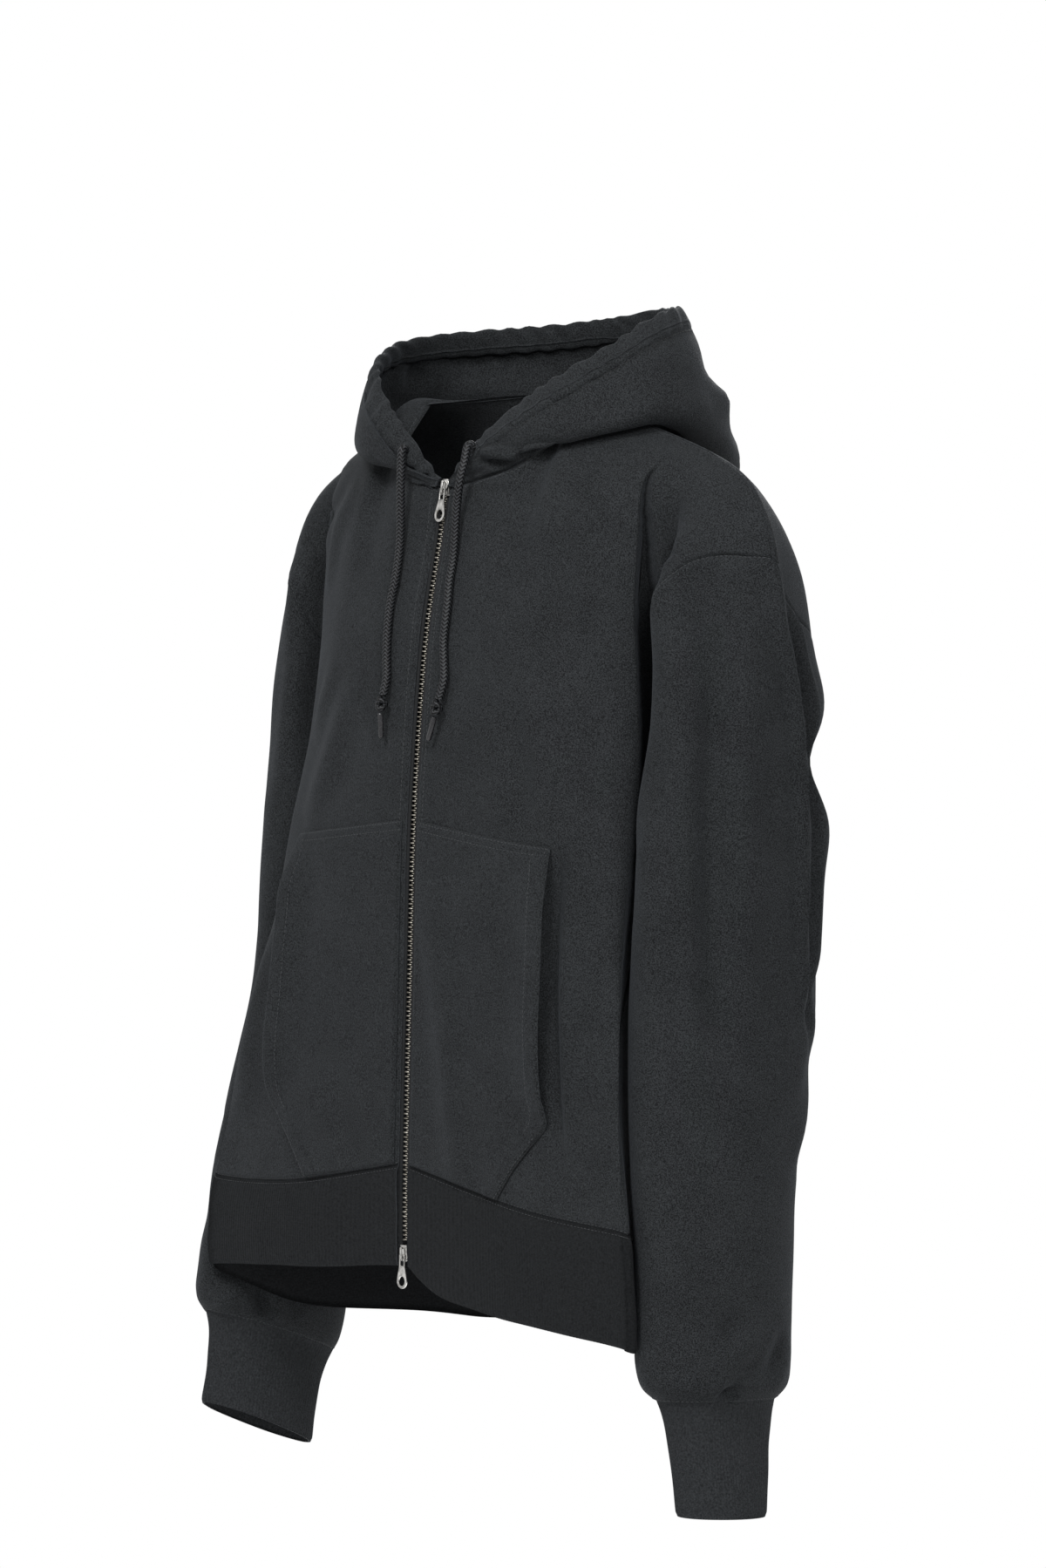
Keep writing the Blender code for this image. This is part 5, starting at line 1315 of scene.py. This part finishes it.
# Sliders and pulls. Cast zinc with a bright nickel plating. Each slider is a two-plate body with a bridge, and
# its pull is a flat tab with a window and a round holed end, hooked round the bridge, on which it swings.
CAST_EDGE = 0.00022
PULL_THICK = 0.0012
PULL_BAR = 0.0006
PULL_ARM, PULL_ARM_DROP = 0.0032, 0.0085
PULL_WINDOW, PULL_WINDOW_DROP = 0.0021, 0.0080
PULL_END, PULL_DROP = 0.0058, 0.0198
PULL_END_TURN = math.radians(16)
PULL_HOLE = 0.0037


def cast(name, data):
    """A piece with its sharp edges rounded, as a casting's are."""
    piece = bpy.data.objects.new(name, data)
    bpy.context.scene.collection.objects.link(piece)
    select_only(piece)
    rounding = piece.modifiers.new("rounded", "BEVEL")
    rounding.width = CAST_EDGE
    rounding.segments = 2
    rounding.limit_method = "ANGLE"
    rounding.angle_limit = math.radians(40)
    bpy.ops.object.modifier_apply(modifier=rounding.name)
    bpy.ops.object.shade_smooth_by_angle(angle=math.radians(35))
    return piece


def softened_copy(node, name):
    """A CAD part's own shape, merged into whole faces and with its sharp edges rounded."""
    data = frame["nodes"][node].data.copy()
    mesh = bmesh.new()
    mesh.from_mesh(data)
    bmesh.ops.remove_doubles(mesh, verts=mesh.verts, dist=WELD)
    bmesh.ops.dissolve_limit(mesh, angle_limit=math.radians(2), verts=mesh.verts, edges=mesh.edges)
    mesh.to_mesh(data)
    mesh.free()
    data.materials.clear()
    return cast(name, data)


def cast_pull(node, bar):
    """A flat tab that hangs from its bar: a window for the bridge, then spreading sides and a holed end."""
    tip = min((vertex.co for vertex in frame["nodes"][node].data.vertices), key=lambda place: place.z).copy()
    tip.x = bar.x
    way = (tip - bar).normalized()
    behind = way.cross(Vector((1.0, 0.0, 0.0)))
    turns = np.linspace(-math.pi - PULL_END_TURN, PULL_END_TURN, 25)
    outline = [(PULL_END * math.cos(turn), PULL_DROP - PULL_END * math.sin(turn)) for turn in turns]
    outline += [(PULL_ARM, PULL_ARM_DROP), (PULL_ARM, -PULL_BAR)]
    outline += [(-PULL_ARM, -PULL_BAR), (-PULL_ARM, PULL_ARM_DROP)]
    window = [(-PULL_WINDOW, PULL_BAR), (PULL_WINDOW, PULL_BAR)]
    window += [(PULL_WINDOW, PULL_WINDOW_DROP), (-PULL_WINDOW, PULL_WINDOW_DROP)]
    turns = np.arange(20) * math.pi / 10
    hole = [(PULL_HOLE * math.cos(turn), PULL_DROP + PULL_HOLE * math.sin(turn)) for turn in turns]
    mesh = bmesh.new()
    rim = []
    for loop in (outline, window, hole):
        corners = [mesh.verts.new(bar + Vector((aside, 0.0, 0.0)) + drop * way - PULL_THICK / 2 * behind)
                   for aside, drop in loop]
        rim += [mesh.edges.new(ends) for ends in zip(corners, corners[1:] + corners[:1])]
    bmesh.ops.triangle_fill(mesh, use_beauty=True, edges=rim)
    ends_of_rim = [tuple(edge.verts) for edge in rim]
    bmesh.ops.dissolve_limit(mesh, angle_limit=math.radians(1), verts=mesh.verts, edges=mesh.edges)
    back = {corner: mesh.verts.new(corner.co + PULL_THICK * behind) for corner in mesh.verts[:]}
    for face in mesh.faces[:]:
        mesh.faces.new([back[corner] for corner in reversed(face.verts[:])])
    for corner, following in ends_of_rim:
        mesh.faces.new((corner, following, back[following], back[corner]))
    bmesh.ops.recalc_face_normals(mesh, faces=mesh.faces)
    data = bpy.data.meshes.new("cast_" + node)
    mesh.to_mesh(data)
    mesh.free()
    return cast("cast_" + node, data)


bars = {joint["child"]: Vector(joint["pos_m"]) for joint in frame["joints"]}
bright_nickel = metal_finish("bright nickel", (0.56, 0.55, 0.53), (0.24, 0.235, 0.225), 0.28)
for place in ("top", "bottom"):
    for part, body in (("slider", "hoodie"), ("pull", place + "_pull")):
        node = part + "_" + place
        piece = softened_copy(node, "cast_" + node) if part == "slider" else cast_pull(node, bars[body])
        dress(piece, bright_nickel, node, body)


# Cord ends. Each cord is tied in a small stopper knot. Below the knot, its tip is sealed in a shrunk tube of
# black plastic.
KNOT_TURNS = 2.4
KNOT_RADIUS = 0.0029
KNOT_CORD = 0.0044
KNOT_WEAVE = 0.0017
KNOT_FILL = 0.8
KNOT_SPAN = 6
KNOT_SIDES = 20
KNOT_STEP = 0.0005


def aglet_finish():
    """Glossy black plastic with faint scuffs."""
    finish = Finish("black aglet plastic")
    scuff = finish.speckle(420.0)
    finish.tones(scuff, (0.005, 0.005, 0.006), (0.013, 0.013, 0.014))
    finish.dulling(scuff, 0.16, 0.34)
    return finish.surface({"Specular IOR Level": 0.3})


def knot_line(low, high, way):
    """A stopper knot wound between two heights: the cord climbs round itself, closer in at both ends."""
    middle = (low + high) / 2
    reach = (high - low).length / 2 - KNOT_CORD / 2
    side = np.array(way.orthogonal().normalized())
    other = np.cross(np.array(way), side)
    turns = np.linspace(-0.5, 0.5, 90)
    angle = 2 * np.pi * KNOT_TURNS * turns
    radius = KNOT_RADIUS * np.sqrt(np.clip(1.0 - (2 * turns) ** 6, 0.0, 1.0))
    height = 2 * turns * reach * KNOT_FILL + KNOT_WEAVE * np.sin(1.5 * angle + 0.6)
    line = np.array(middle) + np.outer(height, np.array(way))
    return line + radius[:, None] * (np.cos(angle)[:, None] * side + np.sin(angle)[:, None] * other)


def knotted(distance, angle):
    """Radius of the cord in the knot, where it is pulled thin."""
    return braided(distance, angle) * KNOT_CORD / CORD_THICK


aglet_material = aglet_finish()
for side, (cord_piece, line) in cord_pieces.items():
    low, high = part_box("knot_" + side)
    middle = (low + high) / 2
    nearest = int(np.argmin(np.linalg.norm(line - np.array(middle), axis=1)))
    way = Vector(unit(line[min(nearest + KNOT_SPAN, len(line) - 1)] - line[nearest - KNOT_SPAN]))
    half = way * (high - low).z / 2
    route = curve_through(knot_line(middle - half, middle + half, way), KNOT_STEP)
    # The same painted shade and light from the strands' heights, on the knot.
    painted_strand_shade = strand_height(lengths_along(route)[:, None], 2 * np.pi * np.arange(KNOT_SIDES) / KNOT_SIDES)
    knot = tube_piece("stopper_knot_" + side, tube_rings(route, knotted, KNOT_SIDES), painted_strand_shade)
    dress(knot, cord_material_with_painted_shade, "knot_" + side)
    aglet = softened_copy("aglet_" + side, "tube_aglet_" + side)
    dress(aglet, aglet_material, "aglet_" + side)
    length = float(lengths_along(line)[-1])


# Sewing. Polyester thread in the cloth's colour: lockstitch beside the zip, round the pockets, along the
# casing, the neck and the armholes, and twin rows over the waistband seam. Rows of near-black thread laid in
# the seams' ditches paint the shadow that falls there.
STITCH_LENGTH = 0.0027
STITCH_GAP = 0.0009
THREAD = 0.00050
STITCH_SIDES = 5


def thread_finish(name, dark, pale):
    """Twisted sewing thread, slightly shinier than the knit."""
    finish = Finish(name)
    finish.tones(finish.speckle(1400.0), (dark, dark * 1.1, dark * 1.2), (pale, pale * 1.07, pale * 1.15))
    return finish.surface({"Roughness": 0.6, "Specular IOR Level": 0.25})


def seam_line(cloth, edge, inset, first=0.0, last=1.0):
    """Points and outward normals on the cloth along a line that keeps its distance from an edge."""
    points, normals, runs = cloth.points, cloth.normals, cloth.down
    if edge in ("start", "end"):
        points, normals = points.transpose(1, 0, 2), normals.transpose(1, 0, 2)
        runs = cloth.across[:, : points.shape[0]].T
    places, outward = [], []
    for column, run in enumerate(runs.T):
        wanted = inset if edge in ("top", "start") else run[-1] - inset
        places.append([np.interp(wanted, run, points[:, column, axis]) for axis in range(3)])
        outward.append([np.interp(wanted, run, normals[:, column, axis]) for axis in range(3)])
    if cloth.ring:
        places.append(places[0])
        outward.append(outward[0])
    places, outward = np.array(places), unit(np.array(outward))
    lengths = lengths_along(places)
    kept = (lengths >= first * lengths[-1]) & (lengths <= last * lengths[-1])
    return places[kept], outward[kept]


def stitch_mesh():
    """One stitch: a short thread, round in section, whose ends dip into the cloth."""
    half = ((0.5, 0.35, -0.55), (0.30, 0.95, 0.05))
    stations = [(-along, thick, lift) for along, thick, lift in half] + [(0.0, 1.0, 0.15), *half[::-1]]
    points, faces = [], []
    for along, thick, lift in stations:
        for side in range(STITCH_SIDES):
            angle = 2 * math.pi * side / STITCH_SIDES
            radius = THREAD / 2 * thick
            height = radius * math.sin(angle) + lift * THREAD
            points.append((along * STITCH_LENGTH, radius * math.cos(angle), height))
    for ring in range(len(stations) - 1):
        for side in range(STITCH_SIDES):
            after = (side + 1) % STITCH_SIDES
            low, high = ring * STITCH_SIDES, (ring + 1) * STITCH_SIDES
            faces.append((low + side, high + side, high + after, low + after))
    faces.append(tuple(range(STITCH_SIDES)))
    faces.append(tuple(range(len(points) - 1, len(points) - 1 - STITCH_SIDES, -1)))
    return np.array(points), faces


def stitch_row(name, thread, lines):
    """Stitches end to end along each line, laid on the cloth."""
    places = []
    for points, outward in lines:
        lengths = lengths_along(points)
        for start in np.arange(STITCH_GAP, lengths[-1] - STITCH_LENGTH, STITCH_LENGTH + STITCH_GAP):
            stops = (start, start + STITCH_LENGTH / 2, start + STITCH_LENGTH)
            low, middle, high = (np.array([np.interp(at, lengths, points[:, axis]) for axis in range(3)])
                                 for at in stops)
            up = unit(np.array([np.interp(stops[1], lengths, outward[:, axis]) for axis in range(3)]))
            along = unit(high - low)
            side = unit(np.cross(up, along))
            up = np.cross(along, side)
            turn = Matrix(np.stack([along, side, up], axis=1).tolist()).to_4x4()
            places.append(Matrix.Translation(Vector(middle)) @ turn)
    piece = joined_copies(name, places, *stitch_mesh())
    piece.data.materials.append(thread)
    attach(piece, "hoodie")


top_thread = thread_finish("top thread", 0.011, 0.026)
# Near-black seam thread, darker than the cloth: its rows in the seams' ditches paint the shadow that falls
# there, and the hood's rows are sewn with it too.
painted_seam_shade_thread = thread_finish("near-black thread painting seam shade", 0.002, 0.005)
for side in ("left", "right"):
    front, pocket, hood = cloths["front_" + side], cloths["pocket_" + side], cloths["hood_" + side]
    sleeve = cloths["sleeve_" + side]
    # Each line: its cloth, the edge that it follows, how far from it, and the shares where it starts and ends.
    # The seam-shade rows lie in the seams' ditches, in near-black thread that paints the shadow there.
    rows = {
        "placket_stitches": (top_thread, [(front, "start", 0.0075)]),
        "pocket_stitches": (top_thread, [
            (pocket, "top", 0.0026),
            (pocket, "top", 0.0085, 0.0, 0.93),
            (pocket, "end", HEM_WIDTH, 0.03, 0.78),
            (pocket, "end", 0.0026, 0.80, 1.0),
            (pocket, "end", 0.0040, 0.0, 0.035),
            (pocket, "end", 0.0040, 0.765, 0.80),
        ]),
        "pocket_seam_painted_shade": (painted_seam_shade_thread, [(pocket, "top", 0.0004), (pocket, "end", 0.0004, 0.80, 1.0)]),
        "neck_stitches": (top_thread, [(front, "top", 0.0055, 0.0, 0.36)]),
        "neck_seam_painted_shade": (painted_seam_shade_thread, [(front, "top", 0.0006)]),
        "sleeve_stitches": (top_thread, [(sleeve, "top", 0.0030)]),
        "sleeve_seam_painted_shade": (painted_seam_shade_thread, [(sleeve, "top", 0.0006)]),
        "cuff_stitches": (top_thread, [(sleeve, "bottom", 0.0030)]),
        "hood_stitches": (painted_seam_shade_thread, [(hood, "bottom", 0.0035), (hood, "start", 0.0040)]),
    }
    for name, (thread, lines) in rows.items():
        stitch_row(name + "_" + side, thread, [seam_line(*line) for line in lines])
stitch_row("hood_seam_painted_shade", painted_seam_shade_thread, [seam_line(cloths["hood_left"], "start", 0.0003)])
stitch_row("waistband_stitches", top_thread, [
    seam_line(cloths["waistband"], "top", 0.0050),
    *[seam_line(cloths[node], "bottom", 0.0040) for node in ("front_left", "back", "front_right")],
])


# Floor and light. A plain pale disc where a wearer's feet would be, a white surrounding and three broad lamps
# that are aimed at the chest.
FLOOR_HEIGHT = -1.45
FLOOR_RADIUS = 1.6
LAMP_SIZE = 1.2
LAMP_AIM = (0.0, 0.0, -0.35)


def lamp(name, place, power):
    """A square lamp aimed at the chest."""
    bpy.ops.object.light_add(type="AREA", location=place)
    light = bpy.context.object
    light.name = name
    light.data.shape = "SQUARE"
    light.data.size = LAMP_SIZE
    light.data.energy = power
    light.rotation_euler = (Vector(LAMP_AIM) - Vector(place)).to_track_quat("-Z", "Y").to_euler()


def floor_finish():
    """Pale matt studio floor."""
    finish = Finish("pale floor")
    finish.tones(finish.speckle(3.0), (0.80, 0.80, 0.80), (0.86, 0.86, 0.86))
    return finish.surface({"Roughness": 0.8})


select_only(camera)
bpy.ops.mesh.primitive_circle_add(vertices=96, radius=FLOOR_RADIUS, fill_type="NGON",
                                  location=(0, 0, FLOOR_HEIGHT))
floor = bpy.context.object
floor.name = "floor"
bpy.ops.object.transform_apply(location=True, rotation=True, scale=True)
floor.data.materials.append(floor_finish())

lamp("key lamp", (1.3, -3.2, 2.6), 250.0)
lamp("side lamp", (3.5, -1.7, 1.6), 130.0)
lamp("back lamp", (-2.8, 3.0, 1.6), 170.0)
world = bpy.data.worlds.new("studio white")
world.use_nodes = True
world.node_tree.nodes["Background"].inputs["Color"].default_value = (1.0, 1.0, 1.0, 1.0)
world.node_tree.nodes["Background"].inputs["Strength"].default_value = 1.0
bpy.context.scene.world = world
bpy.context.scene.view_settings.view_transform = "Standard"
